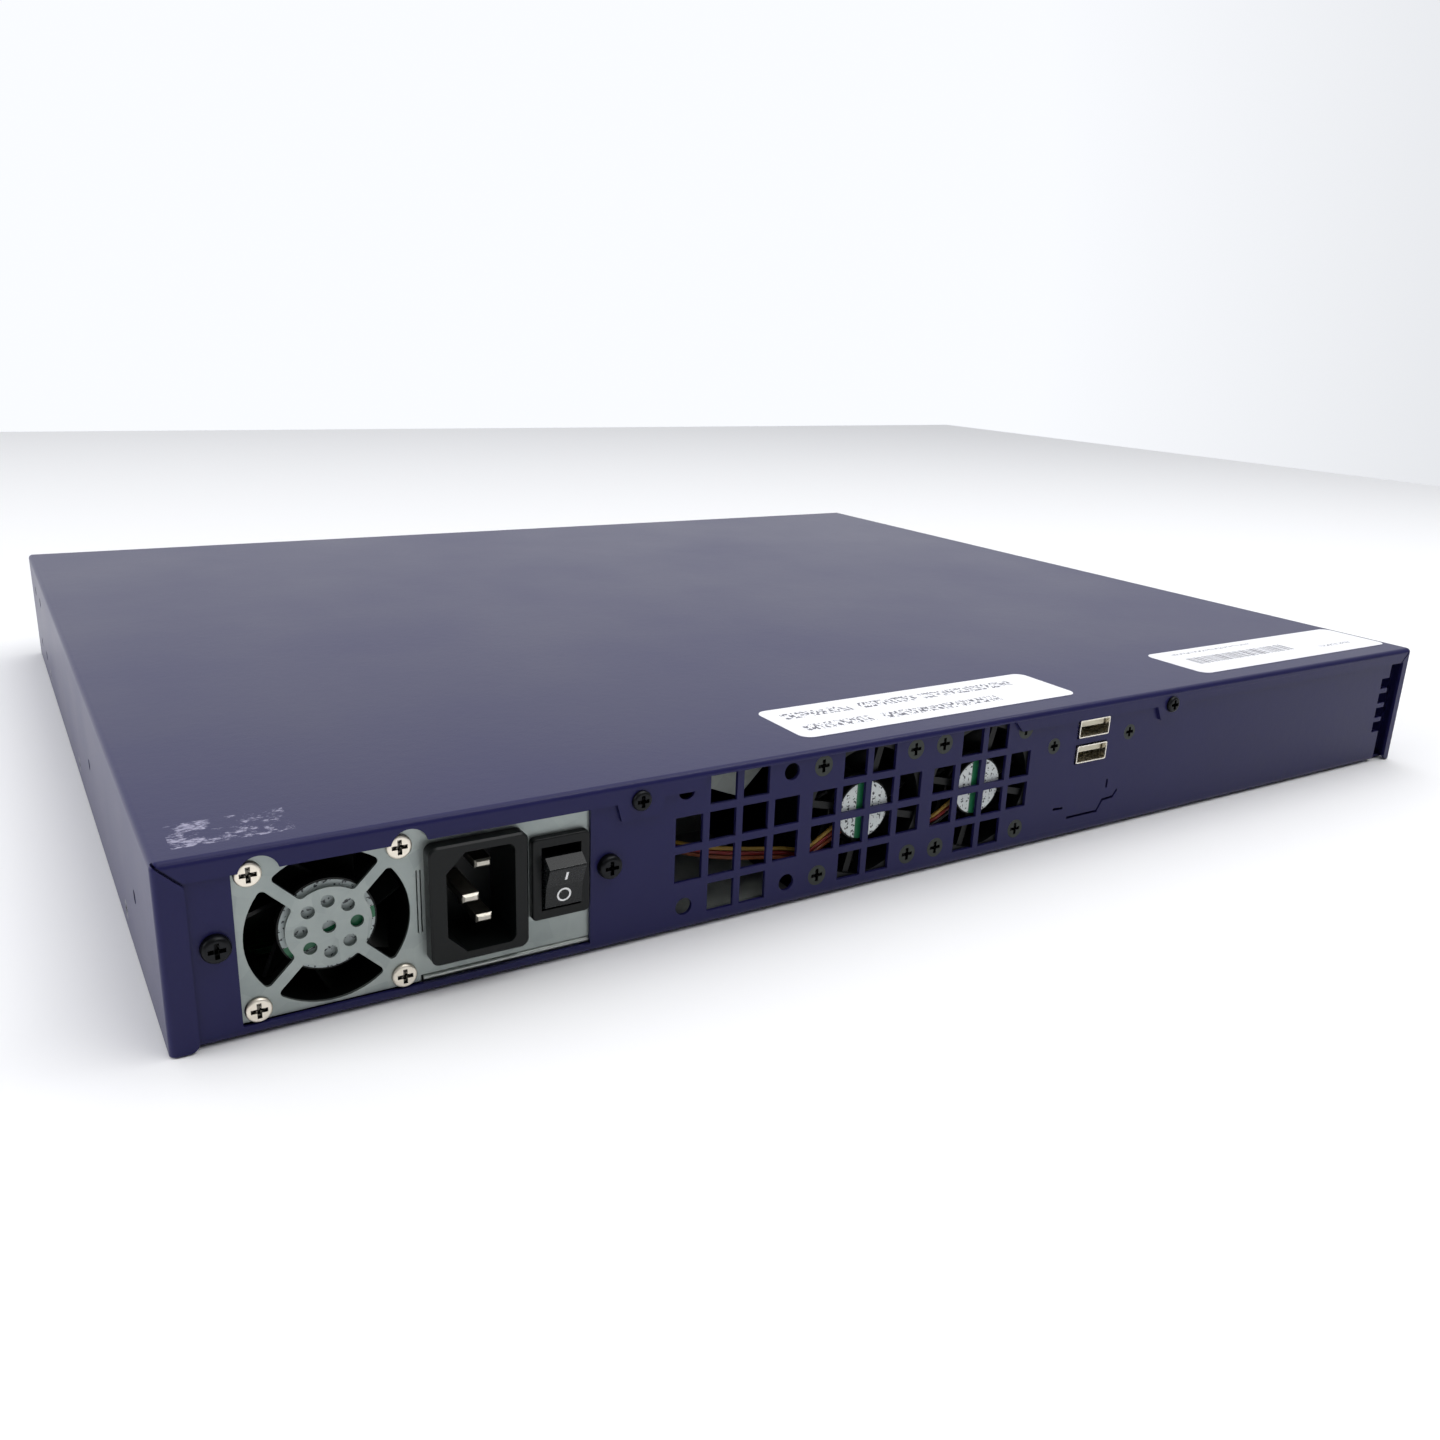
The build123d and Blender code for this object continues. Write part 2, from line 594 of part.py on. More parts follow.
def power_inlet():
    x, z = across(INLET[0]), INLET[1]
    front = REAR + 1.7
    flange = RectangleRounded(INLET_FLANGE[0], INLET_FLANGE[1], 2.0)
    body = upright(Pos(x, z) * flange, PANEL_BACK, front)
    body = chamfer(body.edges().group_by(Axis.Y)[-1], 0.45)
    body += block(x - 9.9, x + 9.9, PANEL_BACK - 20, PANEL_BACK, z - 13.3, z + 13.3)
    body -= upright(cavity_outline(0), front - CAVITY_DEPTH, front + 1)
    for px, pz, _ in pin_places():
        body -= pin_blade(px, pz, PANEL_BACK - 21, front)
    return body


def pin_places():
    """x, z and tip of line, neutral, and earth, which is offset to the cut corners and longer."""
    x, z = across(CAVITY[0]), CAVITY[1]
    short = REAR - 2.3
    return [(x - 2.0, z + PIN_PITCH, short), (x - 2.0, z - PIN_PITCH, short), (x + 2.0, z, REAR + 0.2)]


def pin_blade(px, pz, y0, y1):
    half_x, half_z = PIN_SIZE[0] / 2, PIN_SIZE[1] / 2
    return block(px - half_x, px + half_x, y0, y1, pz - half_z, pz + half_z)


def inlet_pins():
    pins = []
    for px, pz, tip in pin_places():
        blade = pin_blade(px, pz, PANEL_BACK - 26, tip)
        blade = chamfer(blade.edges().group_by(Axis.Y)[-1], 0.5)
        pins.append(blade)
    return joined(pins)


def rocker_pivot():
    """y and z of the rocker's axle."""
    return PANEL_BACK + SWITCH_PROUD - 3.6, SWITCH[1]


def rocker_frame():
    x, z = across(SWITCH[0]), SWITCH[1]
    front = PANEL_BACK + SWITCH_PROUD
    rim = RectangleRounded(SWITCH_FRAME[0], SWITCH_FRAME[1], 1.2)
    frame = upright(Pos(x, z) * rim, PANEL_BACK, front)
    frame = fillet(frame.edges().group_by(Axis.Y)[-1], 0.5)
    frame += block(x - 6.5, x + 6.5, PANEL_BACK - 14, PANEL_BACK, z - 9.5, z + 9.5)
    half = ROCKER_WIDTH / 2 + 0.4
    frame -= block(x - half, x + half, PANEL_BACK - 11, front + 1, z - 8.2, z + 8.2)
    y_pivot, z_pivot = rocker_pivot()
    frame -= rod_x(y_pivot, z_pivot, x - half - 0.9, x + half + 0.9, 1.05)
    for offset in (-6.0, 0.0, 6.0):
        frame += block(x - 2.4, x + 2.4, PANEL_BACK - 22, PANEL_BACK - 14, z + offset - 0.4, z + offset + 0.4)
    return frame


def power_rocker():
    """The rocker with its lower end pressed in, on two short axle stubs."""
    x = across(SWITCH[0])
    y_pivot, z_pivot = rocker_pivot()
    # Dished face from end to end, short sloped end walls, and a narrower root.
    outline = make_face(Polyline(
        (5.5, 0.0), (6.4, 5.8), (3.0, 7.1), (-2.0, 3.5),
        (-2.0, -3.5), (3.0, -7.1), (6.4, -5.8), close=True))
    outline = fillet(outline.vertices().filter_by(lambda v: v.X > 6), 0.5)
    body = lengthwise(outline, -ROCKER_WIDTH / 2, ROCKER_WIDTH / 2)
    body += rod_x(0, 0, -ROCKER_WIDTH / 2 - 1.1, ROCKER_WIDTH / 2 + 1.1, 1.0)
    return Pos(x, y_pivot, z_pivot) * Rot(-ROCKER_TILT, 0, 0) * body


# ---- service sockets beside the fans ----

def usb_shells():
    shells = []
    for height in USB_HEIGHTS:
        x = across(USB_CENTRE)
        width, tall = USB_SHELL
        can = block(x - width / 2, x + width / 2, PANEL_FACE - 15.5, PANEL_FACE + 0.6,
                    height - tall / 2, height + tall / 2)
        can = fillet(can.edges().filter_by(Axis.Y), 0.5)
        can -= block(x - width / 2 + 0.35, x + width / 2 - 0.35, PANEL_FACE - 15.0, PANEL_FACE + 1,
                     height - tall / 2 + 0.35, height + tall / 2 - 0.35)
        shells.append(can)
    return joined(shells)


def usb_tongues():
    tongues = []
    for height in USB_HEIGHTS:
        x = across(USB_CENTRE)
        tongue = block(x - 5.6, x + 5.6, PANEL_FACE - 15.0, PANEL_FACE - 1.2, height + 0.1, height + 2.0)
        tongues.append(tongue)
    return joined(tongues)


def usb_board():
    """The small upright board behind the two sockets and the bracket that holds it."""
    x = across(USB_CENTRE)
    z = USB_SCREW_HEIGHT
    bracket = block(x - 21, x + 21, PANEL_BACK - 1.2, PANEL_BACK, 22.0, 41.0)
    bracket -= block(x - 8.0, x + 8.0, PANEL_BACK - 2, PANEL_BACK + 1, 23.5, 39.8)
    for distance in USB_SCREWS:
        bracket -= rod_y(across(distance), z, PANEL_BACK - 2, PANEL_BACK + 1, 1.45)
    board = block(x - 21, x + 21, PANEL_FACE - 17.1, PANEL_FACE - 15.5, 22.0, 41.0)
    ribs = [block(x + s * 21, x + s * 19.5, PANEL_FACE - 15.5, PANEL_BACK - 1.2, 22.0, 41.0) for s in (-1, 1)]
    return fused([bracket, board] + ribs)


def usb_screws():
    return joined(flat_screw(across(d), USB_SCREW_HEIGHT, PANEL_FACE, 2.55, 7.0) for d in USB_SCREWS)


# ---- front panel, display, keys and jacks ----

def jack_centres():
    """x of every network jack, then of the console jack."""
    jacks = [JACK_FIRST_X - index * JACK_PITCH for index in range(JACK_COUNT)]
    return jacks + [CONSOLE_X]


def front_panel():
    half = WIDTH / 2 - SHEET - 2.4
    panel = block(-half, half, FRONT_FACE, FRONT_BACK, SHEET, PANEL_TOP)
    panel += block(-half, half, FRONT_BACK, FRONT_BACK + 9, SHEET, 2 * SHEET)
    width, tall = DISPLAY_WINDOW
    panel -= block(DISPLAY_X - width / 2, DISPLAY_X + width / 2, FRONT_FACE - 1, FRONT_BACK + 1,
                   DISPLAY_Z - tall / 2, DISPLAY_Z + tall / 2)
    for x, z in key_places():
        panel -= rod_y(x, z, FRONT_FACE - 1, FRONT_BACK + 1, KEY_RADIUS + 0.4)
    panel -= rod_y(RESET_X, RESET_Z, FRONT_FACE - 1, FRONT_BACK + 1, 1.9)
    for z in LAMP_HEIGHTS:
        panel -= rod_y(LAMP_X, z, FRONT_FACE - 1, FRONT_BACK + 1, 1.55)
    low = BOARD_TOP - 0.3
    high = BOARD_TOP + JACK_SIZE[0] + 0.3
    reach = JACK_PITCH / 2 + 0.3
    jacks = jack_centres()
    first = jacks[0] + reach
    last = jacks[JACK_COUNT - 1] - reach
    panel -= block(last, first, FRONT_FACE - 1, FRONT_BACK + 1, low, high)
    panel -= block(CONSOLE_X - reach, CONSOLE_X + reach, FRONT_FACE - 1, FRONT_BACK + 1, low, high)
    # Rows of short upright slots let air in above the jacks and at the far end.
    for index in range(24):
        x = 20 - index * 7.0
        panel -= block(x - 1.6, x + 1.6, FRONT_FACE - 1, FRONT_BACK + 1, 27.5, 37.5)
    for index in range(6):
        x = -166 - index * 7.0
        panel -= block(x - 1.6, x + 1.6, FRONT_FACE - 1, FRONT_BACK + 1, 9.0, 37.5)
    return panel


def display_window():
    width, tall = DISPLAY_WINDOW
    pane = block(DISPLAY_X - width / 2 + 0.2, DISPLAY_X + width / 2 - 0.2, FRONT_FACE, FRONT_BACK,
                 DISPLAY_Z - tall / 2 + 0.2, DISPLAY_Z + tall / 2 - 0.2)
    return pane


def display_module():
    """Liquid crystal glass in its steel bezel on a narrow board."""
    width, tall = 71.0, 24.0
    x0, x1 = DISPLAY_X - width / 2, DISPLAY_X + width / 2
    z0, z1 = DISPLAY_Z - tall / 2, DISPLAY_Z + tall / 2
    bezel = block(x0, x1, FRONT_BACK + 0.3, FRONT_BACK + 7.5, z0, z1)
    bezel -= block(x0 + 3.5, x1 - 3.5, FRONT_BACK, FRONT_BACK + 1.0, z0 + 4.0, z1 - 4.0)
    board = block(x0 - 4.5, x1 + 4.5, FRONT_BACK + 7.5, FRONT_BACK + 9.1, z0 - 4.0, z1 + 4.0)
    return bezel + board


def key_places():
    """x and z of the up, down, left and right keys, as seen from the front."""
    x, z, reach = KEYPAD_X, DISPLAY_Z, KEY_OFFSET
    return [(x, z + reach), (x, z - reach), (x - reach, z), (x + reach, z)]


def key(place):
    """A round key with a domed cap and a retaining collar behind the panel."""
    x, z = place
    cap = rod_y(x, z, FRONT_FACE - 1.0, FRONT_BACK + 1.6, KEY_RADIUS)
    cap = fillet(cap.edges().sort_by(Axis.Y)[0], 0.6)
    return cap + rod_y(x, z, FRONT_BACK + 0.4, FRONT_BACK + 1.2, KEY_RADIUS + 0.9)


def keypad_board():
    """Board behind the keys, with a dome switch under each one."""
    y = FRONT_BACK + 5.2
    board = block(KEYPAD_X - 14, KEYPAD_X + 14, y, y + 1.6, 9.5, 38.5)
    for x, z in key_places():
        board += rod_y(x, z, FRONT_BACK + 2.8, y, 2.4)
    return board


def reset_button():
    stem = rod_y(RESET_X, RESET_Z, FRONT_FACE - 0.4, FRONT_BACK + 1.6, 1.5)
    return stem + rod_y(RESET_X, RESET_Z, FRONT_BACK + 0.4, FRONT_BACK + 1.2, 2.3)


def lamp_board():
    """Board with the status lamps and the reset switch."""
    y = FRONT_BACK + 5.2
    board = block(LAMP_X - 6, LAMP_X + 6, y, y + 1.6, 8.0, 38.0)
    return board + block(RESET_X - 3, RESET_X + 3, FRONT_BACK + 2.8, y, RESET_Z - 3, RESET_Z + 3)


def light_pipes():
    pipes = []
    for z in LAMP_HEIGHTS:
        pipe = rod_y(LAMP_X, z, FRONT_FACE - 0.5, FRONT_BACK + 5.2, 1.5)
        pipe = fillet(pipe.edges().sort_by(Axis.Y)[0], 0.5)
        pipes.append(pipe + rod_y(LAMP_X, z, FRONT_BACK + 0.1, FRONT_BACK + 1.0, 2.2))
    return joined(pipes)


def jack_hole(x):
    """Plug cavity of one jack, with the narrower latch channel above it."""
    width, tall, deep = JACK_HOLE
    y0 = FRONT_FACE - 1
    z0 = BOARD_TOP + 1.6
    hole = block(x - width / 2, x + width / 2, y0, FRONT_FACE + deep, z0, z0 + tall - 1.4)
    hole += block(x - 3.2, x + 3.2, y0, FRONT_FACE + deep, z0, z0 + tall + 1.2)
    return hole


def jack_shield(x0, x1, centres):
    height, deep = JACK_SIZE
    can = block(x0, x1, FRONT_FACE + 0.2, FRONT_FACE + 0.2 + deep, BOARD_TOP, BOARD_TOP + height)
    for x in centres:
        can -= jack_hole(x)
    return can


def lan_jacks():
    centres = jack_centres()[:JACK_COUNT]
    half = JACK_PITCH / 2
    return jack_shield(centres[-1] - half, centres[0] + half, centres)


def console_jack():
    return jack_shield(CONSOLE_X - 7.8, CONSOLE_X + 7.8, [CONSOLE_X])


def jack_contacts():
    """Eight sprung gold wires along the floor of every jack's cavity."""
    wires = []
    z = BOARD_TOP + 1.6
    for x in jack_centres():
        for index in range(8):
            cx = x + (index - 3.5) * 1.02
            wires.append(block(cx - 0.2, cx + 0.2, FRONT_FACE + 4, FRONT_FACE + 13.9, z, z + 0.5))
    return joined(wires)


# ---- main board and what it carries ----

def main_board():
    x0, x1, y0, y1 = BOARD
    board = block(x0, x1, y0, y1, BOARD_TOP - BOARD_THICK, BOARD_TOP)
    for x, y in STANDOFF_POINTS:
        board -= rod_z(x, y, 0, 20, 1.7)
    return board


def standoffs():
    posts = []
    for x, y in STANDOFF_POINTS:
        post = rod_z(x, y, SHEET, BOARD_TOP - BOARD_THICK, 2.6)
        posts.append(post - rod_z(x, y, SHEET + 1.5, BOARD_TOP, 1.3))
    return joined(posts)


def board_screws():
    screws = []
    for x, y in STANDOFF_POINTS:
        shank = rod_z(x, y, SHEET + 2.0, BOARD_TOP, 1.25)
        head = rod_z(x, y, BOARD_TOP, BOARD_TOP + 1.8, 2.8)
        screws.append(fillet(head.edges().sort_by(Axis.Z)[-1], 1.0) + shank)
    return joined(screws)


def processor_heatsink():
    """Skived aluminium sink over the processor, its fins in line with the fans."""
    x0, x1, y0, y1 = -30.0, 46.0, -46.0, 36.0
    sink = block(x0, x1, y0, y1, BOARD_TOP + 4.5, BOARD_TOP + 8.5)
    fins = 20
    step = (x1 - x0 - 1.2) / (fins - 1)
    for index in range(fins):
        x = x0 + index * step
        sink += block(x, x + 1.2, y0, y1, BOARD_TOP + 8.5, BOARD_TOP + 28)
    return sink


def bridge_heatsink():
    """Small finned sink over the bridge chip."""
    x0, x1, y0, y1 = -84.0, -46.0, -30.0, 8.0
    sink = block(x0, x1, y0, y1, BOARD_TOP + 2.5, BOARD_TOP + 5.0)
    sink += block(x0 + 4, x1 - 4, y0 + 4, y1 - 4, BOARD_TOP, BOARD_TOP + 2.5)
    for index in range(9):
        x = x0 + index * 4.6
        sink += block(x, x + 1.2, y0, y1, BOARD_TOP + 5.0, BOARD_TOP + 16)
    return sink


def memory_socket(x):
    """A long slot with a latch tower at each end."""
    y0, y1 = MEMORY_RUN
    socket = block(x - 3.2, x + 3.2, y0, y1, BOARD_TOP, BOARD_TOP + 6)
    socket += block(x - 3.2, x + 3.2, y0 - 6, y0, BOARD_TOP, BOARD_TOP + 18)
    socket += block(x - 3.2, x + 3.2, y1, y1 + 6, BOARD_TOP, BOARD_TOP + 18)
    return socket - block(x - 0.8, x + 0.8, y0 - 1, y1 + 1, BOARD_TOP + 2, BOARD_TOP + 7)


def board_sockets():
    """Memory slots, the flash card's socket, the power header and the two fan headers."""
    sockets = [memory_socket(x) for x in MEMORY_X]
    flash = block(-190, -142, 14, 52, BOARD_TOP, BOARD_TOP + 7)
    sockets.append(flash - block(-188, -144, 12, 48, BOARD_TOP + 2.4, BOARD_TOP + 6.0))
    power = block(34, 56, -120, -68, BOARD_TOP, BOARD_TOP + 10)
    sockets.append(power - block(36, 54, -118, -70, BOARD_TOP + 3, BOARD_TOP + 11))
    for x in FAN_HEADERS:
        sockets.append(block(x - 4, x + 4, FAN_HEADER_Y - 3, FAN_HEADER_Y + 3, BOARD_TOP, FAN_HEADER_TOP))
    return joined(sockets)


def memory_modules():
    modules = []
    y0, y1 = MEMORY_RUN
    for x in MEMORY_X:
        module = block(x - 0.6, x + 0.6, y0 + 1, y1 - 1, BOARD_TOP + 2.2, BOARD_TOP + 31)
        for index in range(8):
            y = y0 + 10 + index * 16.5
            module += block(x + 0.6, x + 1.8, y, y + 10, BOARD_TOP + 11, BOARD_TOP + 25)
        modules.append(module)
    return joined(modules)


def flash_card():
    card = block(-187.4, -144.6, 11, 47, BOARD_TOP + 2.5, BOARD_TOP + 5.8)
    return fillet(card.edges().filter_by(Axis.Z), 0.8)


def coin_cell():
    cell = rod_z(-165, -10, BOARD_TOP + 2.0, BOARD_TOP + 5.2, 10.0)
    return fillet(cell.edges().group_by(Axis.Z)[-1], 0.6)


def cell_holder():
    holder = block(-177.5, -152.5, -22.5, 2.5, BOARD_TOP, BOARD_TOP + 4.2)
    return holder - rod_z(-165, -10, BOARD_TOP + 1.9, BOARD_TOP + 6, 10.2)


def board_chips():
    """The processor, the jacks' transformers and the network controllers behind them."""
    chips = [block(-12, 28, -25, 15, BOARD_TOP, BOARD_TOP + 4.5)]
    for x in jack_centres():
        chips.append(block(x - 6, x + 6, -146, -134, BOARD_TOP, BOARD_TOP + 6))
    for index in range(3):
        x = JACK_FIRST_X - JACK_PITCH / 2 - index * 2 * JACK_PITCH
        chips.append(block(x - 6, x + 6, -130, -118, BOARD_TOP, BOARD_TOP + 1.4))
    return joined(chips)


def board_capacitors():
    cans = []
    for index in range(5):
        cans.append(rod_z(-34 + index * 13.0, 47, BOARD_TOP, BOARD_TOP + 12, 4.0))
    for index in range(4):
        cans.append(rod_z(56, -36 + index * 13.0, BOARD_TOP, BOARD_TOP + 10, 4.0))
    return joined(fillet(can.edges().sort_by(Axis.Z)[-1], 0.6) for can in cans)


def power_plug():
    return block(36.3, 53.7, -117.7, -70.3, BOARD_TOP + 3.2, PLUG_TOP)


# ---- drive ----

def hard_drive():
    x, y, z = DRIVE_CORNER
    wide, long, tall = DRIVE
    drive = block(x, x + wide, y, y + long, z, z + tall - 2)
    drive = fillet(drive.edges().filter_by(Axis.Z), 2.0)
    lid = block(x + 2.5, x + wide - 2.5, y + 2.5, y + long - 2.5, z + tall - 2, z + tall)
    drive += fillet(lid.edges().filter_by(Axis.Z), 6.0)
    drive += rod_z(x + wide / 2, y + long * 0.62, z + tall, z + tall + 0.6, 34.0)
    return drive


def drive_bracket():
    """Two rails of galvanised sheet that lift the drive off the floor."""
    x, y, z = DRIVE_CORNER
    wide, long, _ = DRIVE
    rails = []
    for edge, sign in ((x, -1), (x + wide, 1)):
        near = edge + sign * 0.1
        far = edge + sign * 1.3
        rail = block(near, far, y + 10, y + long - 10, SHEET, z + 14)
        rail += block(far, far + sign * 8, y + 10, y + long - 10, SHEET, SHEET + 1.2)
        rail += block(near - sign * 8, near, y + 10, y + long - 10, z - 1.4, z - 0.2)
        for place in (28.5, 70.0, 118.0):
            rail -= rod_x(y + place, z + 6.4, near - sign, far + sign, 1.75)
        rails.append(rail)
    return joined(rails)


def drive_screws():
    x, y, z = DRIVE_CORNER
    wide, _, _ = DRIVE
    screws = []
    for edge, sign in ((x, -1), (x + wide, 1)):
        for place in (28.5, 70.0, 118.0):
            head = rod_x(y + place, z + 6.4, edge + sign * 1.3, edge + sign * 3.0, 3.0)
            shank = rod_x(y + place, z + 6.4, edge, edge + sign * 1.3, 1.6)
            screws.append(head + shank)
    return joined(screws)


def duct_plate():
    """Bare sheet guides at the empty fan place: a tray on the floor and a hanging baffle."""
    x0, x1 = across(160.5), across(119)
    tray = block(x0, x1, PANEL_BACK - 52, PANEL_BACK - 4, SHEET, SHEET + 1.0)
    tray += block(x0, x1, PANEL_BACK - 52, PANEL_BACK - 51, SHEET, 9.0)
    # The baffle is folded down from a strip under the cover, and its edge is cut on the slant.
    baffle_y = PANEL_BACK - BAFFLE_DEPTH
    outline = make_face(Polyline(*[(across(d), z) for d, z in BAFFLE_OUTLINE], close=True))
    baffle = upright(outline, baffle_y - 1.0, baffle_y)
    baffle += block(x0, across(136), baffle_y, PANEL_BACK - 0.2, 41.6, 42.6)
    return joined([tray, baffle])


# ---- wiring held inside the case ----

def largest_bends(points):
    """The radius at each corner: 0.45 of the shorter run over the tangent of half the turn."""
    radii = []
    for before, here, after in zip(points, points[1:], points[2:]):
        run_in = Vector(*here) - Vector(*before)
        run_out = Vector(*after) - Vector(*here)
        half_turn = radians(run_in.get_angle(run_out) / 2)
        shorter = min(run_in.length, run_out.length)
        radii.append(round(0.45 * shorter * cos(half_turn) / sin(half_turn), 2))
    return radii


def lead(name, points, radius):
    """A round wire along straight runs joined by tangent arcs, with its length and bends told."""
    bends = largest_bends(points)
    path = FilletPolyline(*points, radius=bends)
    wire = sweep(Plane(origin=path @ 0, z_dir=path % 0) * Circle(radius), path=path)
    ratio = wire.volume / (pi * radius ** 2 * path.length)
    print(name, "length", round(path.length, 1), "radii", bends, "volume ratio", round(ratio, 4))
    return wire


def fan_lead_route(fan, wire):
    """From the motor plate's rim, out of the housing's notch and forward to the header."""
    x = across(VENT_CENTRES[fan + 1])
    z = VENT_HEIGHT
    drop = WIRE_PITCH * wire
    first = -3.2 - drop
    start = (x + (CASE_PLATE ** 2 - first ** 2) ** 0.5, PANEL_BACK - 1.9, z + first)
    notch = (x + 18.5, PANEL_BACK - 2.3, z - 9.5 - drop)
    pin_x = FAN_HEADERS[fan] + 2.5 * (wire - 1)
    if fan == 0:
        middle = [(62.0, 176.0, 14.4 - drop), (72.0, 174.4, 15.5 - drop), (84.0, 173.0, 17.5 - drop),
                  (94.0, 166.0, 19.0 - drop), (98.5, 152.0, 17.0 - drop), (98.0, 134.0, 12.6 - drop),
                  (94.0, 114.0, 11.0 - drop), (85.0, 95.0, 11.5 - drop),
                  (73.0, 79.0, 14.0 - drop), (61.0 + wire, 64.0, 19.5 - drop / 2)]
    else:
        middle = [(16.8, 160.0, 12.4 - drop), (17.6, 140.0, 11.4 - drop), (20.5, 118.0, 11.0 - drop),
                  (25.5, 97.0, 12.0 - drop), (30.5 + wire, 78.0, 15.0 - drop / 2),
                  (pin_x, 62.0, 20.0)]
    return [start, notch] + middle + [(pin_x, 50.0, 21.5), (pin_x, FAN_HEADER_Y, FAN_HEADER_TOP)]


def fan_leads():
    """Three thin wires from each case fan to its header on the main board."""
    leads = []
    for fan in range(2):
        for wire in range(3):
            leads.append(lead(f"fan {fan + 1} lead {wire + 1}", fan_lead_route(fan, wire), FAN_WIRE))
    return joined(leads)


def supply_lead_route(column, row):
    """From the supply's inner end, past the drive's corner, down into the power plug."""
    dx = -2.0 * column
    dy = 1.6 * column
    dz = 2.2 * row
    back = PANEL_BACK - SUPPLY_DEPTH
    x = LEAD_EXIT[0] + 2.0
    z = LEAD_EXIT[1] - 1.1
    end_x = 50.0 - 4.0 * column - 2.0 * row
    end_y = -80.0 - 8.0 * row
    return [(x + dx, back + 3.0, z + dz), (x + dx, back - 14.0 + dy, z + dz),
            (118.0 + dx, 3.0 + dy, 25.0 + dz), (99.0 + dx, -3.0 + dy, 26.0 + dz),
            (80.0 + dx, -14.0 + dy, 26.0 + dz), (69.0 + dx, -33.0 + dy, 25.0 + dz),
            (61.0 + dx, -54.0 + dy, 27.0 + dz), (end_x, end_y + 4.0, 37.0), (end_x, end_y, PLUG_TOP)]


def supply_leads():
    """Stout wires from the power supply to the main board."""
    leads = []
    for row in range(2):
        for column in range(3):
            route = supply_lead_route(column, row)
            leads.append(lead(f"supply lead {row * 3 + column + 1}", route, SUPPLY_WIRE))
    return joined(leads)


# ---- labels ----

def label(x0, x1, y0, y1):
    sheet = block(x0, x1, y0, y1, HEIGHT, HEIGHT + 0.12)
    return fillet(sheet.edges().filter_by(Axis.Z), 3.5)


def fan_places():
    """Name, x, z, rear plane, motor plate radius and first strut's angle of every fan."""
    supply = ("supply_fan", across(SUPPLY_FAN[0]), SUPPLY_FAN[1], PANEL_BACK - SUPPLY_SHEET, SUPPLY_PLATE, 45)
    first = ("case_fan_1", across(VENT_CENTRES[1]), VENT_HEIGHT, PANEL_BACK, CASE_PLATE, -15)
    second = ("case_fan_2", across(VENT_CENTRES[2]), VENT_HEIGHT, PANEL_BACK, CASE_PLATE, -15)
    return [supply, first, second]


def nodes():
    made = {
        "base_pan": base_pan(),
        "top_cover": top_cover(),
        "rear_cover_screws": rear_cover_screws(),
        "side_cover_screws": side_cover_screws(),
        "supply_cover": supply_cover(),
        "supply_case": supply_case(),
        "supply_screws": supply_screws(),
        "supply_fan_screws": supply_fan_screws(),
        "supply_board": supply_board(),
        "case_fan_screws": case_fan_screws(),
        "power_inlet": power_inlet(),
        "inlet_pins": inlet_pins(),
        "rocker_frame": rocker_frame(),
        "power_rocker": power_rocker(),
        "usb_shells": usb_shells(),
        "usb_tongues": usb_tongues(),
        "usb_board": usb_board(),
        "usb_screws": usb_screws(),
        "front_panel": front_panel(),
        "display_window": display_window(),
        "display_module": display_module(),
        "keypad_board": keypad_board(),
        "reset_button": reset_button(),
        "lamp_board": lamp_board(),
        "light_pipes": light_pipes(),
        "lan_jacks": lan_jacks(),
        "console_jack": console_jack(),
        "jack_contacts": jack_contacts(),
        "main_board": main_board(),
        "standoffs": standoffs(),
        "board_screws": board_screws(),
        "processor_heatsink": processor_heatsink(),
        "bridge_heatsink": bridge_heatsink(),
        "memory_modules": memory_modules(),
        "flash_card": flash_card(),
        "coin_cell": coin_cell(),
        "cell_holder": cell_holder(),
        "board_chips": board_chips(),
        "board_sockets": board_sockets(),
        "fan_leads": fan_leads(),
        "supply_leads": supply_leads(),
        "board_capacitors": board_capacitors(),
        "power_plug": power_plug(),
        "hard_drive": hard_drive(),
        "drive_bracket": drive_bracket(),
        "drive_screws": drive_screws(),
        "duct_plate": duct_plate(),
        "asset_label": label(across(270.5), across(165.5), REAR - 35.4, REAR - 9.6),
        "serial_label": label(across(437.0), across(331.0), REAR - 34.8, REAR - 8.6),
    }
    for place, name in zip(key_places(), ("key_up", "key_down", "key_left", "key_right")):
        made[name] = key(place)
    for name, x, z, rear, plate_radius, first_strut in fan_places():
        made[name + "_frame"] = fan_frame(x, z, rear, plate_radius, first_strut)
        made[name + "_rotor"] = fan_rotor(x, z, rear)
    labels = [hub_label(x, z, rear, radius - 0.4) for _, x, z, rear, radius, _ in fan_places()]
    made["fan_labels"] = joined(labels)
    return made


def main():
    os.makedirs("parts", exist_ok=True)
    for name, shape in nodes().items():
        export_step(shape, f"parts/{name}.step")


main()
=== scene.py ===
import math

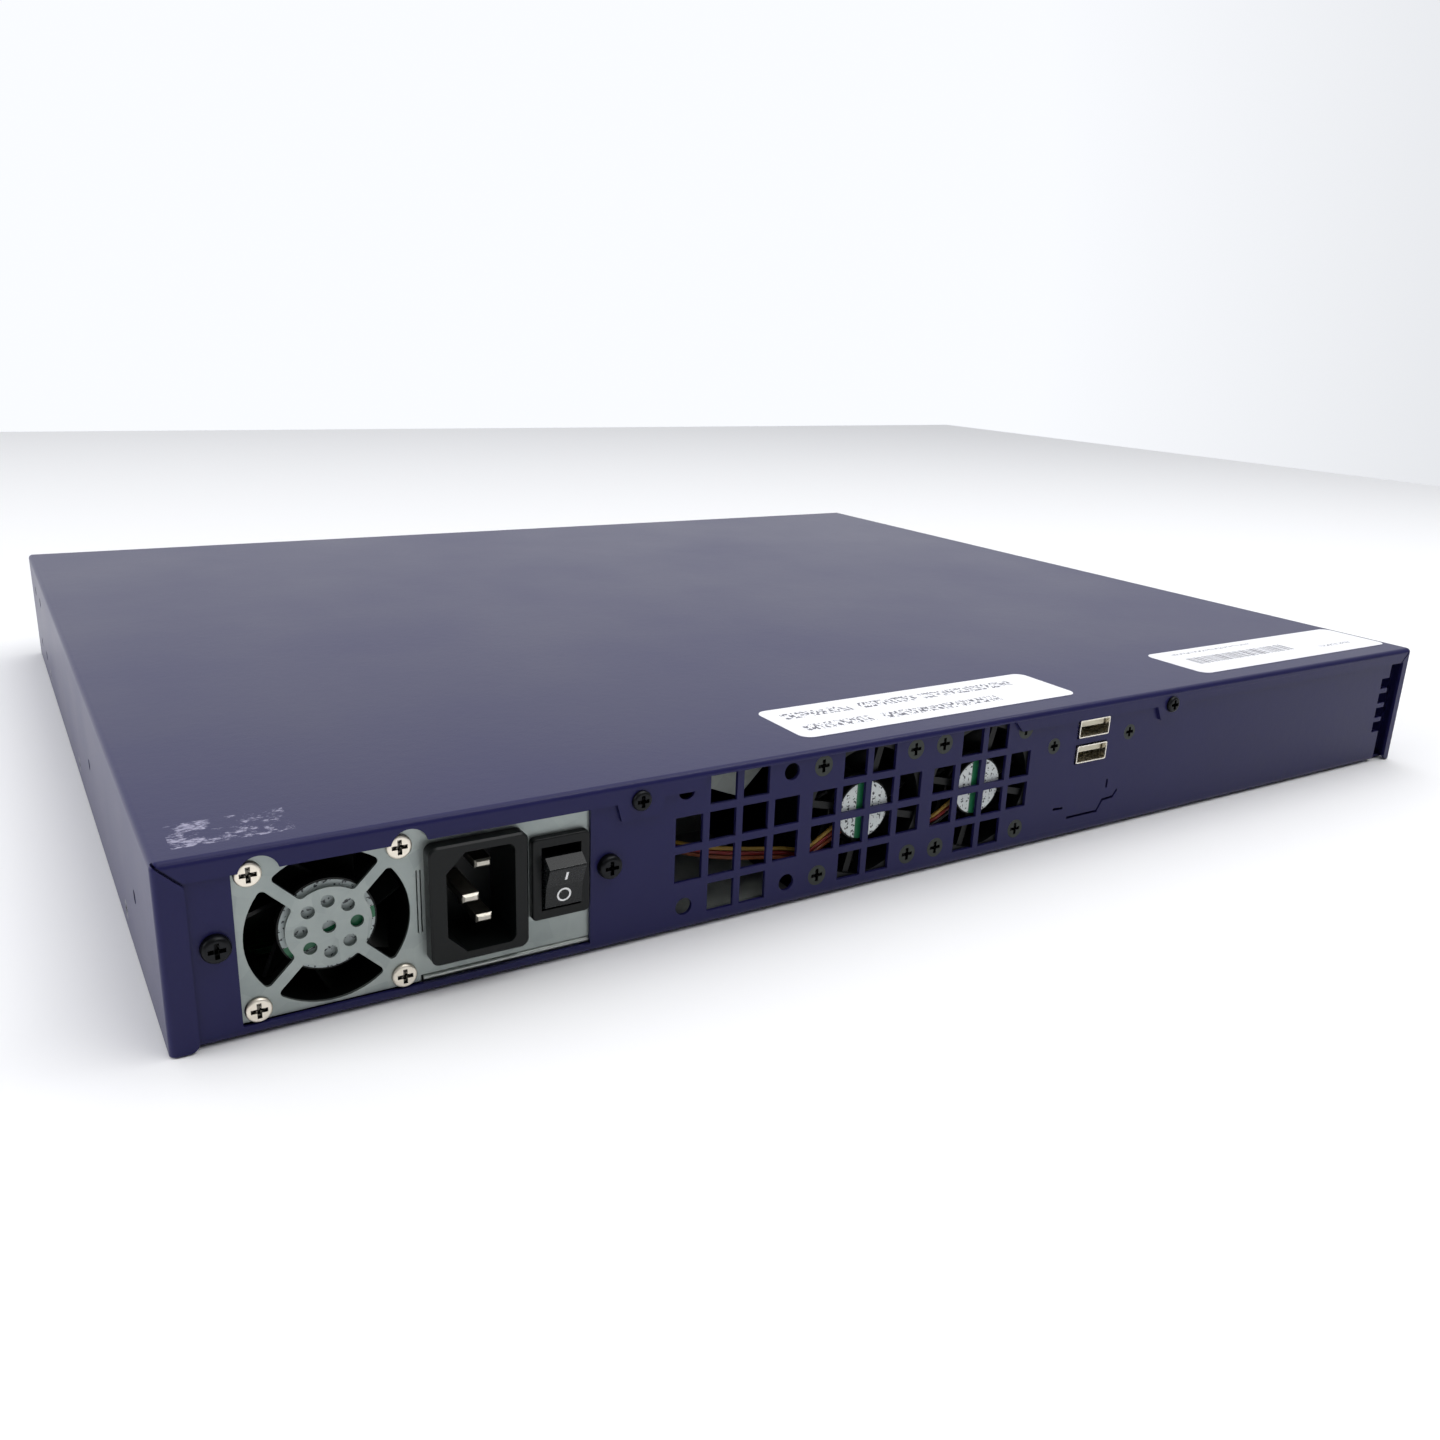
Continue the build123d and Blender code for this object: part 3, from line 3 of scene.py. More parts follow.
import bpy
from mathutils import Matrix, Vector


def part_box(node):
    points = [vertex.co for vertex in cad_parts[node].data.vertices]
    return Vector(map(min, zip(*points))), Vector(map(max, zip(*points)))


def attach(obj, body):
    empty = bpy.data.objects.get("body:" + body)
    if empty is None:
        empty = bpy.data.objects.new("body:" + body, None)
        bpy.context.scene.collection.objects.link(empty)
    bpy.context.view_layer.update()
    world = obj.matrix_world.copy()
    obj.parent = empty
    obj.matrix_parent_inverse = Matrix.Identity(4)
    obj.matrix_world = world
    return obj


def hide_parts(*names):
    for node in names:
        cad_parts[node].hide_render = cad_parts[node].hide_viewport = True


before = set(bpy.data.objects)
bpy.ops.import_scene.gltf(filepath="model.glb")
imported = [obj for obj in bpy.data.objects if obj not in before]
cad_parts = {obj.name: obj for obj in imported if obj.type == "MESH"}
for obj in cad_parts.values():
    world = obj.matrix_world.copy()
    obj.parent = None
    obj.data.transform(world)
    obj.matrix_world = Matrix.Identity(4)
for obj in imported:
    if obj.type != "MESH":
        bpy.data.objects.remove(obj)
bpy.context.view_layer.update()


# ---- camera, floor and light ----
# A plain pale floor, a wide soft light overhead, one at the supply side, and a long thin
# strip whose image lies along the lid's rear bend. The room is brightest beyond the front.

def linear(hex_colour):
    """An sRGB hex colour such as 8a8794 as linear red, green and blue, with alpha 1."""
    parts = [int(hex_colour[i:i + 2], 16) / 255 for i in (0, 2, 4)]
    return [c / 12.92 if c <= 0.04045 else ((c + 0.055) / 1.055) ** 2.4 for c in parts] + [1.0]


def add(owner, kind, settings, links=()):
    """Adds a node with its settings, and links each (input, output socket) pair given."""
    node = owner.node_tree.nodes.new(kind)
    for key, value in settings.items():
        if hasattr(node, str(key)):
            setattr(node, key, value)
        else:
            node.inputs[key].default_value = value
    for key, source in links:
        owner.node_tree.links.new(source, node.inputs[key])
    return node


camera_data = bpy.data.cameras.new("camera")
camera_data.lens = 30.68
camera_data.sensor_width = 36.0
camera_data.clip_start = 0.01
camera = bpy.data.objects.new("camera", camera_data)
camera.location = (0.2426, 0.4290, 0.1493)
camera.rotation_euler = [math.radians(a) for a in (72.325, -2.16, 148.622)]
bpy.context.scene.collection.objects.link(camera)
bpy.context.scene.camera = camera
bpy.context.scene.view_settings.view_transform = "Standard"

bpy.ops.object.select_all(action="DESELECT")
bpy.ops.mesh.primitive_plane_add(size=2.6, location=(0, 0, -0.0004))
floor = bpy.context.object
floor.name = "studio_floor"
floor_paint = bpy.data.materials.new("matt_floor_paint")
floor_paint.use_nodes = True
floor_paint.node_tree.nodes["Principled BSDF"].inputs["Base Color"].default_value = linear("f8f8f9")
floor_paint.node_tree.nodes["Principled BSDF"].inputs["Roughness"].default_value = 0.9
floor.data.materials.append(floor_paint)

room = bpy.data.worlds.new("soft_room")
room.use_nodes = True
room_way = add(room, "ShaderNodeTexCoord", {}).outputs["Generated"]
room_split = add(room, "ShaderNodeSeparateXYZ", {}, [("Vector", room_way)])
room_glow = add(room, "ShaderNodeMapRange",
                {"From Min": -0.7, "From Max": 0.5, "To Min": 1.04, "To Max": 0.14},
                [("Value", room_split.outputs["Y"])])
room_back = room.node_tree.nodes["Background"]
room_back.inputs["Color"].default_value = linear("f6f8fc")
room.node_tree.links.new(room_glow.outputs["Result"], room_back.inputs["Strength"])
bpy.context.scene.world = room

for name, place, aim, size, power in (
        ("overhead_softbox", (-0.35, 0.15, 1.6), (0, 0, 0), (1.5, 1.2), 11),
        ("supply_side_softbox", (1.7, -0.2, 0.8), (0.1, 0, 0), (0.9, 0.9), 15),
        ("bend_strip", (-0.42, 0.61, 1.04), (0.0, 0.18, 0.04), (1.7, 0.05), 5.0)):
    light_data = bpy.data.lights.new(name, "AREA")
    light_data.shape = "RECTANGLE"
    light_data.size, light_data.size_y = size
    light_data.energy = power
    light = bpy.data.objects.new(name, light_data)
    light.location = place
    light.rotation_euler = (Vector(aim) - Vector(place)).to_track_quat("-Z", "Y").to_euler()
    bpy.context.scene.collection.objects.link(light)


# ---- base pan and front panel ----
# Floor, rear panel and low side walls are one folded sheet of 1 mm steel, and the front panel
# is spot-welded to it. Both are powder coated in a deep violet navy: satin, with the orange
# peel that baked powder leaves. The coat's IOR is under the resin's 1.5, for its dim sheen.

def material(name, colour, roughness, metallic=0.0):
    """A new material and its shader, with the colour and finish it starts from."""
    made = bpy.data.materials.new(name)
    made.use_nodes = True
    shader = made.node_tree.nodes["Principled BSDF"]
    shader.inputs["Base Color"].default_value = linear(colour)
    shader.inputs["Roughness"].default_value = roughness
    shader.inputs["Metallic"].default_value = metallic
    return made, shader


def finish_nodes(made, *names):
    """Gives the finish to CAD nodes, in place of their plain one."""
    for name in names:
        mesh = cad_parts[name].data
        mesh.materials.clear()
        mesh.materials.append(made)


def powder_coat(name):
    """Satin polyester powder: grain of 0.5 mm, orange peel of 3 mm, faint clouding of 60 mm."""
    made, shader = material(name, "211f4b", 0.38)
    shader.inputs["IOR"].default_value = 1.25
    shader.inputs["Coat Weight"].default_value = 0.10
    shader.inputs["Coat Roughness"].default_value = 0.14
    shader.inputs["Coat IOR"].default_value = 1.40
    place = add(made, "ShaderNodeTexCoord", {}).outputs["Object"]
    grain = add(made, "ShaderNodeTexNoise", {"Scale": 2000.0, "Detail": 3.0}, [("Vector", place)])
    peel = add(made, "ShaderNodeTexNoise", {"Scale": 330.0, "Detail": 2.0}, [("Vector", place)])
    cloud = add(made, "ShaderNodeTexNoise", {"Scale": 17.0, "Detail": 4.0}, [("Vector", place)])
    low = add(made, "ShaderNodeBump", {"Strength": 0.12, "Distance": 0.0003},
              [("Height", peel.outputs["Fac"])])
    fine = add(made, "ShaderNodeBump", {"Strength": 0.30, "Distance": 0.0001},
               [("Height", grain.outputs["Fac"]), ("Normal", low.outputs["Normal"])])
    made.node_tree.links.new(fine.outputs["Normal"], shader.inputs["Normal"])
    tone = add(made, "ShaderNodeMix", {"data_type": "RGBA", 6: linear("1d1c46"), 7: linear("232251")},
               [(0, cloud.outputs["Fac"])])
    gloss = add(made, "ShaderNodeMapRange", {"To Min": 0.30, "To Max": 0.42},
                [("Value", cloud.outputs["Fac"])])
    return made, shader, place, tone.outputs[2], gloss.outputs["Result"]


coat, coat_shader, _, coat_tone, coat_gloss = powder_coat("violet_navy_powder_coat")
coat.node_tree.links.new(coat_tone, coat_shader.inputs["Base Color"])
coat.node_tree.links.new(coat_gloss, coat_shader.inputs["Roughness"])
finish_nodes(coat, "base_pan", "front_panel")


# ---- sheet guides, drive rails and the supply's sheet metal ----
# Zinc-coated steel, bent and left bare. The zinc freezes in soft-edged spangles of 6 mm and
# weathers to a grey with a trace of green.

def zinc_sheet(name, low, high, metallic):
    made, shader = material(name, low, 0.42, metallic)
    place = add(made, "ShaderNodeTexCoord", {}).outputs["Object"]
    film = add(made, "ShaderNodeTexNoise", {"Scale": 90.0, "Detail": 5.0}, [("Vector", place)])
    spangle = add(made, "ShaderNodeTexVoronoi", {"Scale": 170.0}, [("Vector", place)])
    tint = add(made, "ShaderNodeMath", {"operation": "MULTIPLY_ADD", 1: 0.35},
               [(0, spangle.outputs["Color"])])
    made.node_tree.links.new(film.outputs["Fac"], tint.inputs[2])
    spread = add(made, "ShaderNodeMapRange", {"From Min": 0.4, "From Max": 0.95},
                 [("Value", tint.outputs["Value"])])
    tone = add(made, "ShaderNodeMix", {"data_type": "RGBA", 6: linear(low), 7: linear(high)},
               [(0, spread.outputs["Result"])])
    made.node_tree.links.new(tone.outputs[2], shader.inputs["Base Color"])
    rough = add(made, "ShaderNodeMapRange", {"To Min": 0.34, "To Max": 0.54},
                [("Value", film.outputs["Fac"])])
    made.node_tree.links.new(rough.outputs["Result"], shader.inputs["Roughness"])
    return made


finish_nodes(zinc_sheet("spangled_zinc_sheet", "8b9391", "a3aaa7", 0.85), "drive_bracket", "supply_cover")
finish_nodes(zinc_sheet("phosphated_zinc_sheet", "8c928f", "a5aba6", 0.25), "duct_plate")
finish_nodes(zinc_sheet("bright_zinc_sheet", "b6bcb8", "c9cec9", 1.0), "supply_case")


# ---- main board on its standoffs, and the small boards ----
# Glass-epoxy laminate under a green solder mask. The copper shows through it as a lighter mesh
# of tracks on a 2.5 mm pitch. The standoffs are turned brass.

laminate, laminate_shader = material("green_solder_mask", "0f4a2a", 0.35)
laminate_place = add(laminate, "ShaderNodeTexCoord", {}).outputs["Object"]
tracks = add(laminate, "ShaderNodeTexBrick",
             {"Scale": 1.0, "Brick Width": 0.009, "Row Height": 0.0025, "Mortar Size": 0.00035,
              "offset": 0.37,
              "Color1": linear("0f4a2a"), "Color2": linear("12542f"), "Mortar": linear("2a7a4c")},
             [("Vector", laminate_place)])
laminate.node_tree.links.new(tracks.outputs["Color"], laminate_shader.inputs["Base Color"])
relief = add(laminate, "ShaderNodeBump", {"Strength": 0.3, "Distance": 0.00004},
             [("Height", tracks.outputs["Fac"])])
laminate.node_tree.links.new(relief.outputs["Normal"], laminate_shader.inputs["Normal"])
finish_nodes(laminate, "main_board", "usb_board", "keypad_board", "lamp_board", "supply_board",
             "memory_modules")


# ---- plated screws, pins, shells and shields ----
# Bright nickel mirrors its surroundings with a warm tint and has faint rubbing marks of 1 mm.
# The dark screws are zinc plated with a black or a grey passivate. Recesses 1 mm deep are given painted
# shade.

def plated(name, colour, roughness, metallic=1.0, painted_recess_shade=False):
    """Plated metal. With the recess option, shade is painted near black into its recesses."""
    made, shader = material(name, colour, roughness, metallic)
    place = add(made, "ShaderNodeTexCoord", {}).outputs["Object"]
    wear = add(made, "ShaderNodeTexNoise", {"Scale": 1100.0, "Detail": 4.0, "Distortion": 0.6},
               [("Vector", place)])
    rough = add(made, "ShaderNodeMapRange", {"To Min": roughness * 0.75, "To Max": roughness * 1.35},
                [("Value", wear.outputs["Fac"])])
    made.node_tree.links.new(rough.outputs["Result"], shader.inputs["Roughness"])
    bump = add(made, "ShaderNodeBump", {"Strength": 0.08, "Distance": 0.00005},
               [("Height", wear.outputs["Fac"])])
    made.node_tree.links.new(bump.outputs["Normal"], shader.inputs["Normal"])
    if not painted_recess_shade:
        return made
    # Painted shade: an ambient occlusion mask darkens the base colour to near black in recesses, where shade
    # falls.
    depth = add(made, "ShaderNodeAmbientOcclusion", {"samples": 16, "Distance": 0.0016})
    open_air = add(made, "ShaderNodeMapRange", {"From Min": 0.35, "From Max": 0.85},
                   [("Value", depth.outputs["AO"])])
    recess_shade_colour = add(made, "ShaderNodeMix", {"data_type": "RGBA", 6: linear("0c0c0c"), 7: linear(colour)},
               [(0, open_air.outputs["Result"])])
    made.node_tree.links.new(recess_shade_colour.outputs[2], shader.inputs["Base Color"])
    return made


finish_nodes(plated("turned_brass", "c9a45c", 0.28), "standoffs")
finish_nodes(plated("bright_nickel_plate", "ddd8cc", 0.26),
             "usb_shells", "lan_jacks", "console_jack", "board_screws", "drive_screws", "coin_cell")
# The inlet pins' nickel is given a darker colour than the bright nickel as painted shade from the dim cavity
# around them.
finish_nodes(plated("nickel_plate_painted_shade", "b9b5aa", 0.34), "inlet_pins")
finish_nodes(plated("warm_nickel_plate", "f2eadb", 0.42, painted_recess_shade=True), "supply_fan_screws")
finish_nodes(plated("black_passivated_zinc", "1d1e20", 0.34, 0.8, painted_recess_shade=True),
             "supply_screws", "rear_cover_screws")
finish_nodes(plated("olive_passivated_zinc", "3c3f3c", 0.42, 0.85, painted_recess_shade=True),
             "case_fan_screws", "usb_screws")
finish_nodes(plated("grey_passivated_zinc", "6a6c74", 0.38, 0.9, painted_recess_shade=True), "side_cover_screws")
finish_nodes(plated("hard_gold_plate", "d9ae55", 0.18), "jack_contacts")


# ---- chips, capacitors and sockets on the main board ----
# Moulded epoxy and nylon, matt from the mould, with a grain of 0.3 mm.

def moulded(name, colour, roughness, grain_mm=0.3, depth=0.15, ior=1.48):
    """A plastic straight from a sparked mould: an even fine grain."""
    made, shader = material(name, colour, roughness)
    shader.inputs["IOR"].default_value = ior
    place = add(made, "ShaderNodeTexCoord", {}).outputs["Object"]
    grain = add(made, "ShaderNodeTexNoise", {"Scale": 1000.0 / grain_mm, "Detail": 2.0},
                [("Vector", place)])
    bump = add(made, "ShaderNodeBump", {"Strength": depth, "Distance": 0.00006},
               [("Height", grain.outputs["Fac"])])
    made.node_tree.links.new(bump.outputs["Normal"], shader.inputs["Normal"])
    rough = add(made, "ShaderNodeMapRange", {"To Min": roughness - 0.06, "To Max": roughness + 0.06},
                [("Value", grain.outputs["Fac"])])
    made.node_tree.links.new(rough.outputs["Result"], shader.inputs["Roughness"])
    return made


finish_nodes(moulded("chip_epoxy", "1b1b1c", 0.55),
             "board_chips", "cell_holder", "flash_card", "board_capacitors")
finish_nodes(moulded("cream_nylon", "d9d2b8", 0.5), "board_sockets", "power_plug")


# ---- heat sinks and drive ----
# Extruded aluminium keeps fine draw lines along its length. The drive's die casting has an
# even satin skin of 1 mm.

def aluminium(name, colour, roughness, lines_per_metre):
    made, shader = material(name, colour, roughness, 1.0)
    place = add(made, "ShaderNodeTexCoord", {}).outputs["Object"]
    stretched = add(made, "ShaderNodeMapping", {"Scale": lines_per_metre}, [("Vector", place)])
    lines = add(made, "ShaderNodeTexNoise", {"Scale": 1.0, "Detail": 3.0},
                [("Vector", stretched.outputs["Vector"])])
    rough = add(made, "ShaderNodeMapRange", {"To Min": roughness - 0.08, "To Max": roughness + 0.08},
                [("Value", lines.outputs["Fac"])])
    made.node_tree.links.new(rough.outputs["Result"], shader.inputs["Roughness"])
    bump = add(made, "ShaderNodeBump", {"Strength": 0.12, "Distance": 0.0001},
               [("Height", lines.outputs["Fac"])])
    made.node_tree.links.new(bump.outputs["Normal"], shader.inputs["Normal"])
    return made


finish_nodes(aluminium("extruded_aluminium", "c9ccd0", 0.32, (2500.0, 60.0, 2500.0)),
             "processor_heatsink", "bridge_heatsink")
finish_nodes(aluminium("die_cast_aluminium", "9b9ea3", 0.45, (900.0, 900.0, 900.0)), "hard_drive")


# ---- mains inlet and power switch ----
# Black glass-filled nylon, nearly matt, whose moulded edges catch a thin light. The rocker is
# the same plastic with a little polish, and its on stroke and off ring are stamped in white.

finish_nodes(moulded("glass_filled_nylon", "0d1010", 0.34, 0.4, 0.10, 1.3), "power_inlet", "rocker_frame")
finish_nodes(moulded("satin_black_nylon", "0f1213", 0.28, 0.5, 0.06, 1.38), "power_rocker")

ROCKER_PIVOT = Vector((0.1311, 0.1789, 0.0232))
ROCKER_TILT = math.radians(-16)
DISH = math.radians(8.8)


def on_rocker(y, z):
    """A point of the level rocker's side view, tilted as it rests, in the row frame."""
    turned = (y * math.cos(ROCKER_TILT) - z * math.sin(ROCKER_TILT),
              y * math.sin(ROCKER_TILT) + z * math.cos(ROCKER_TILT))
    return ROCKER_PIVOT + Vector((0, turned[0], turned[1]))


def settle(piece, name, made, body):
    """Puts a finished piece's place into its mesh and gives it its finish, slot and body."""
    bpy.ops.object.select_all(action="DESELECT")
    piece.select_set(True)
    bpy.context.view_layer.objects.active = piece
    bpy.ops.object.transform_apply(location=True, rotation=True, scale=True)
    piece.name = name
    piece.data.materials.clear()
    piece.data.materials.append(made)
    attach(piece, body)
    return piece


white_foil = moulded("white_stamping_foil", "f4f4f4", 0.5, 0.5, 0.03)
bpy.ops.object.select_all(action="DESELECT")
bpy.ops.mesh.primitive_torus_add(major_segments=48, minor_segments=10,
                                 major_radius=0.0016, minor_radius=0.00027,
                                 location=on_rocker(0.00590, -0.0027),
                                 rotation=(-math.pi / 2 + ROCKER_TILT + DISH, 0, 0))
off_ring = bpy.context.object
bpy.ops.object.mode_set(mode="EDIT")
bpy.ops.transform.resize(value=(1.0, 1.0, 0.25), orient_type="LOCAL")
bpy.ops.object.mode_set(mode="OBJECT")
bpy.ops.object.shade_smooth()
settle(off_ring, "rocker_off_ring", white_foil, "power_rocker")

bpy.ops.object.select_all(action="DESELECT")
bpy.ops.mesh.primitive_cube_add(size=1, location=on_rocker(0.00598, 0.0031),
                                rotation=(-math.pi / 2 + ROCKER_TILT - DISH, 0, 0))
on_stroke = bpy.context.object
bpy.ops.object.mode_set(mode="EDIT")
bpy.ops.transform.resize(value=(0.0006, 0.0026, 0.00012), orient_type="LOCAL")
bpy.ops.mesh.bevel(offset=0.00004, segments=2)
bpy.ops.object.mode_set(mode="OBJECT")
settle(on_stroke, "rocker_on_stroke", white_foil, "power_rocker")


# ---- fan housings, impellers and hub labels ----
# Black glass-filled polyester from a mould. Each impeller is a cup with seven thin twisted
# blades on it. The motor plate carries a printed film label with one green band.

fan_plastic = moulded("black_fan_polyester", "0b0d0d", 0.38, 0.4, 0.08, 1.3)
finish_nodes(fan_plastic, "supply_fan_frame", "case_fan_1_frame", "case_fan_2_frame")
blade_plastic = moulded("black_blade_polyester", "0a0c0b", 0.34, 0.4, 0.05, 1.3)

HUB_RADIUS = 0.0102
BLADE_REACH = 0.0172
CUP_LENGTH = 0.013
CUP_WALL = 0.0012
CUP_BOTTOM = 0.0018
CUP_SETBACK = 0.0034     # the cup's open end, ahead of the housing's rear face
SHAFT_RADIUS = 0.0010
SHAFT_LENGTH = 0.0128
BLADE_CHORD = 0.0145
BLADE_PITCH = 40
BLADES = 7


def impeller(fan, x, z, rear):
    """One fan's cup and blades. The cup's closed end is away from the rear panel."""
    open_end = rear - CUP_SETBACK
    middle = open_end - CUP_LENGTH / 2
    bpy.ops.object.select_all(action="DESELECT")
    bpy.ops.mesh.primitive_cylinder_add(vertices=64, radius=HUB_RADIUS, depth=CUP_LENGTH,
                                        location=(0, 0, 0), rotation=(math.pi / 2, 0, 0))
    cup = bpy.context.object
    bpy.ops.object.transform_apply(location=False, rotation=True, scale=False)
    bpy.ops.object.mode_set(mode="EDIT")
    bpy.ops.mesh.select_all(action="DESELECT")
    bpy.ops.object.mode_set(mode="OBJECT")
    for face in cup.data.polygons:
        face.select = face.normal.y > 0.9
    bpy.ops.object.mode_set(mode="EDIT")
    bpy.ops.mesh.inset(thickness=CUP_WALL)
    bpy.ops.mesh.extrude_region_move(TRANSFORM_OT_translate={"value": (0, CUP_BOTTOM - CUP_LENGTH, 0)})
    bpy.ops.object.mode_set(mode="OBJECT")
    rim = cup.modifiers.new("rim", "BEVEL")
    rim.width = 0.0006
    rim.segments = 3
    rim.limit_method = "ANGLE"
    bpy.ops.object.modifier_apply(modifier="rim")
    bpy.ops.mesh.primitive_cylinder_add(vertices=24, radius=SHAFT_RADIUS, depth=SHAFT_LENGTH,
                                        location=(0, 0.0003, 0), rotation=(math.pi / 2, 0, 0))
    shaft = bpy.context.object
    bpy.ops.object.transform_apply(location=True, rotation=True, scale=False)
    # One blade is a strip, twisted 18 degrees from root to tip, thickened, then turned to its pitch.
    bpy.ops.mesh.primitive_grid_add(x_subdivisions=8, y_subdivisions=14, size=1, location=(0, 0, 0))
    blade = bpy.context.object
    bpy.ops.object.mode_set(mode="EDIT")
    bpy.ops.transform.resize(value=(BLADE_REACH - HUB_RADIUS + 0.0006, BLADE_CHORD, 1))
    bpy.ops.object.mode_set(mode="OBJECT")
    twist = blade.modifiers.new("twist", "SIMPLE_DEFORM")
    twist.deform_method = "TWIST"
    twist.deform_axis = "X"
    twist.angle = math.radians(-18)
    bpy.ops.object.modifier_apply(modifier="twist")
    wall = blade.modifiers.new("wall", "SOLIDIFY")
    wall.thickness = 0.0008
    wall.offset = 0
    bpy.ops.object.modifier_apply(modifier="wall")
    bpy.ops.object.mode_set(mode="EDIT")
    bpy.ops.mesh.select_all(action="SELECT")
    bpy.ops.transform.rotate(value=math.radians(-BLADE_PITCH), orient_axis="X", center_override=(0, 0, 0))
    bpy.ops.transform.translate(value=((HUB_RADIUS + BLADE_REACH) / 2 - 0.0003, 0, 0))
    bpy.ops.object.mode_set(mode="OBJECT")
    pieces = [cup, shaft, blade]
    for index in range(1, BLADES):
        twin = blade.copy()
        twin.data = blade.data.copy()
        bpy.context.scene.collection.objects.link(twin)
        twin.rotation_euler = (0, math.radians(index * 360 / BLADES), 0)
        pieces.append(twin)
    bpy.ops.object.select_all(action="DESELECT")
    for piece in pieces:
        piece.select_set(True)
    bpy.context.view_layer.objects.active = cup
    bpy.ops.object.join()
    cup.location = (x, middle, z)
    bpy.ops.object.shade_smooth_by_angle(angle=math.radians(35))
    settle(cup, fan + "_impeller", blade_plastic, fan + "_rotor")
    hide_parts(fan + "_rotor")


def print_area(owner, split, x, half_x, y, half_y, axis="Y"):
    """1 inside a printed rectangle, given by its middles and half sizes, and 0 outside it."""
    across_it = add(owner, "ShaderNodeMath", {"operation": "COMPARE", 1: x, 2: half_x},
                    [(0, split.outputs["X"])])
    along_it = add(owner, "ShaderNodeMath", {"operation": "COMPARE", 1: y, 2: half_y},
                   [(0, split.outputs[axis])])
    both = add(owner, "ShaderNodeMath", {"operation": "MULTIPLY"},
               [(0, across_it.outputs["Value"]), (1, along_it.outputs["Value"])])
    return both.outputs["Value"]


def hub_film(name, x, z, band_turn, band_middle, paper_and_shade):
    """White film with a green band a few millimetres wide, and small dark blots of print. Its base colour may
    carry painted shade.
    """
    made, shader = material(name, paper_and_shade, 0.32)
    place = add(made, "ShaderNodeTexCoord", {}).outputs["Object"]
    centred = add(made, "ShaderNodeMapping", {"vector_type": "TEXTURE", "Location": (x, 0, z),
                                              "Rotation": (0, math.radians(band_turn), 0)},
                  [("Vector", place)])
    split = add(made, "ShaderNodeSeparateXYZ", {}, [("Vector", centred.outputs["Vector"])])
    band = print_area(made, split, band_middle, 0.0014, 0, 0.02, "Z")
    blots = add(made, "ShaderNodeTexNoise", {"Scale": 1300.0, "Detail": 2.0}, [("Vector", place)])
    dark = add(made, "ShaderNodeMath", {"operation": "GREATER_THAN", 1: 0.56}, [(0, blots.outputs["Fac"])])
    rows = add(made, "ShaderNodeTexWave", {"bands_direction": "X", "Scale": 140.0},
               [("Vector", centred.outputs["Vector"])])
    row = add(made, "ShaderNodeMath", {"operation": "GREATER_THAN", 1: 0.45}, [(0, rows.outputs["Fac"])])
    strokes = add(made, "ShaderNodeMath", {"operation": "MULTIPLY"},
                  [(0, dark.outputs["Value"]), (1, row.outputs["Value"])])
    ink = add(made, "ShaderNodeMix", {"data_type": "RGBA", 6: linear(paper_and_shade), 7: linear("3a3e42")},
              [(0, strokes.outputs["Value"])])
    green = add(made, "ShaderNodeMix", {"data_type": "RGBA", 7: linear("1d6b45")},
                [(0, band), (6, ink.outputs[2])])
    made.node_tree.links.new(green.outputs[2], shader.inputs["Base Color"])
    return made


FILM_THICKNESS = 0.00015
FILM_MIDDLE = 0.000725   # ahead of the housing's rear face
# The supply fan's film is given a darker grey than the case fans' films as painted shade, for its deeper seat
# behind the guard.
for fan, x, z, rear, film_radius, band_turn, band_middle, paper_and_shade in (
        ("supply_fan", 0.1855, 0.0217, 0.1797, 0.0105, 107, 0.0022, "a9b3b2"),
        ("case_fan_1", 0.0381, 0.0229, 0.1805, 0.0084, 0, 0.0013, "d3d9d8"),
        ("case_fan_2", -0.0045, 0.0229, 0.1805, 0.0084, 0, 0.0013, "d3d9d8")):
    impeller(fan, x, z, rear)
    bpy.ops.object.select_all(action="DESELECT")
    bpy.ops.mesh.primitive_cylinder_add(vertices=72, radius=film_radius, depth=FILM_THICKNESS,
                                        location=(x, rear - FILM_MIDDLE, z), rotation=(math.pi / 2, 0, 0))
    film = bpy.context.object
    edge = film.modifiers.new("edge", "BEVEL")
    edge.width = 0.00004
    edge.segments = 2
    bpy.ops.object.modifier_apply(modifier="edge")
    printed = hub_film(fan + "_label_film", x, z, band_turn, band_middle, paper_and_shade)
    settle(film, fan + "_label", printed, "chassis")
    if fan == "supply_fan":
        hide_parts("fan_labels")


# ---- fan and supply wires ----
# Stranded copper in extruded vinyl. Each wire has its own jacket colour, and the jackets are
# smooth with a faint waviness of 4 mm from the reel.

jackets = {colour: moulded(colour + "_vinyl_jacket", shade, 0.38, 4.0, 0.05) for colour, shade in (
    ("red", "7c1c1a"), ("yellow", "94742a"), ("black", "17171a"), ("orange", "80401c"))}


def single_wires(node, colours):
    """Parts a bundle into its wires, each with its own jacket, from the supply side inwards."""
    bundle = bpy.data.objects.new(node + "_copy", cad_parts[node].data.copy())
    bpy.context.scene.collection.objects.link(bundle)
    bpy.ops.object.select_all(action="DESELECT")
    bundle.select_set(True)
    bpy.context.view_layer.objects.active = bundle
    bpy.ops.object.mode_set(mode="EDIT")
    bpy.ops.mesh.select_all(action="SELECT")
    bpy.ops.mesh.remove_doubles(threshold=0.000002)
    bpy.ops.mesh.separate(type="LOOSE")
    bpy.ops.object.mode_set(mode="OBJECT")
    wires = sorted(bpy.context.selected_objects, key=lambda o: sum(v.co.x + v.co.z for v in o.data.vertices)
                   / len(o.data.vertices), reverse=True)
    for index, (wire, colour) in enumerate(zip(wires, colours)):
        settle(wire, f"{node}_wire_{index + 1}", jackets[colour], "chassis")
        bpy.ops.object.shade_smooth()
        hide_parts(node)


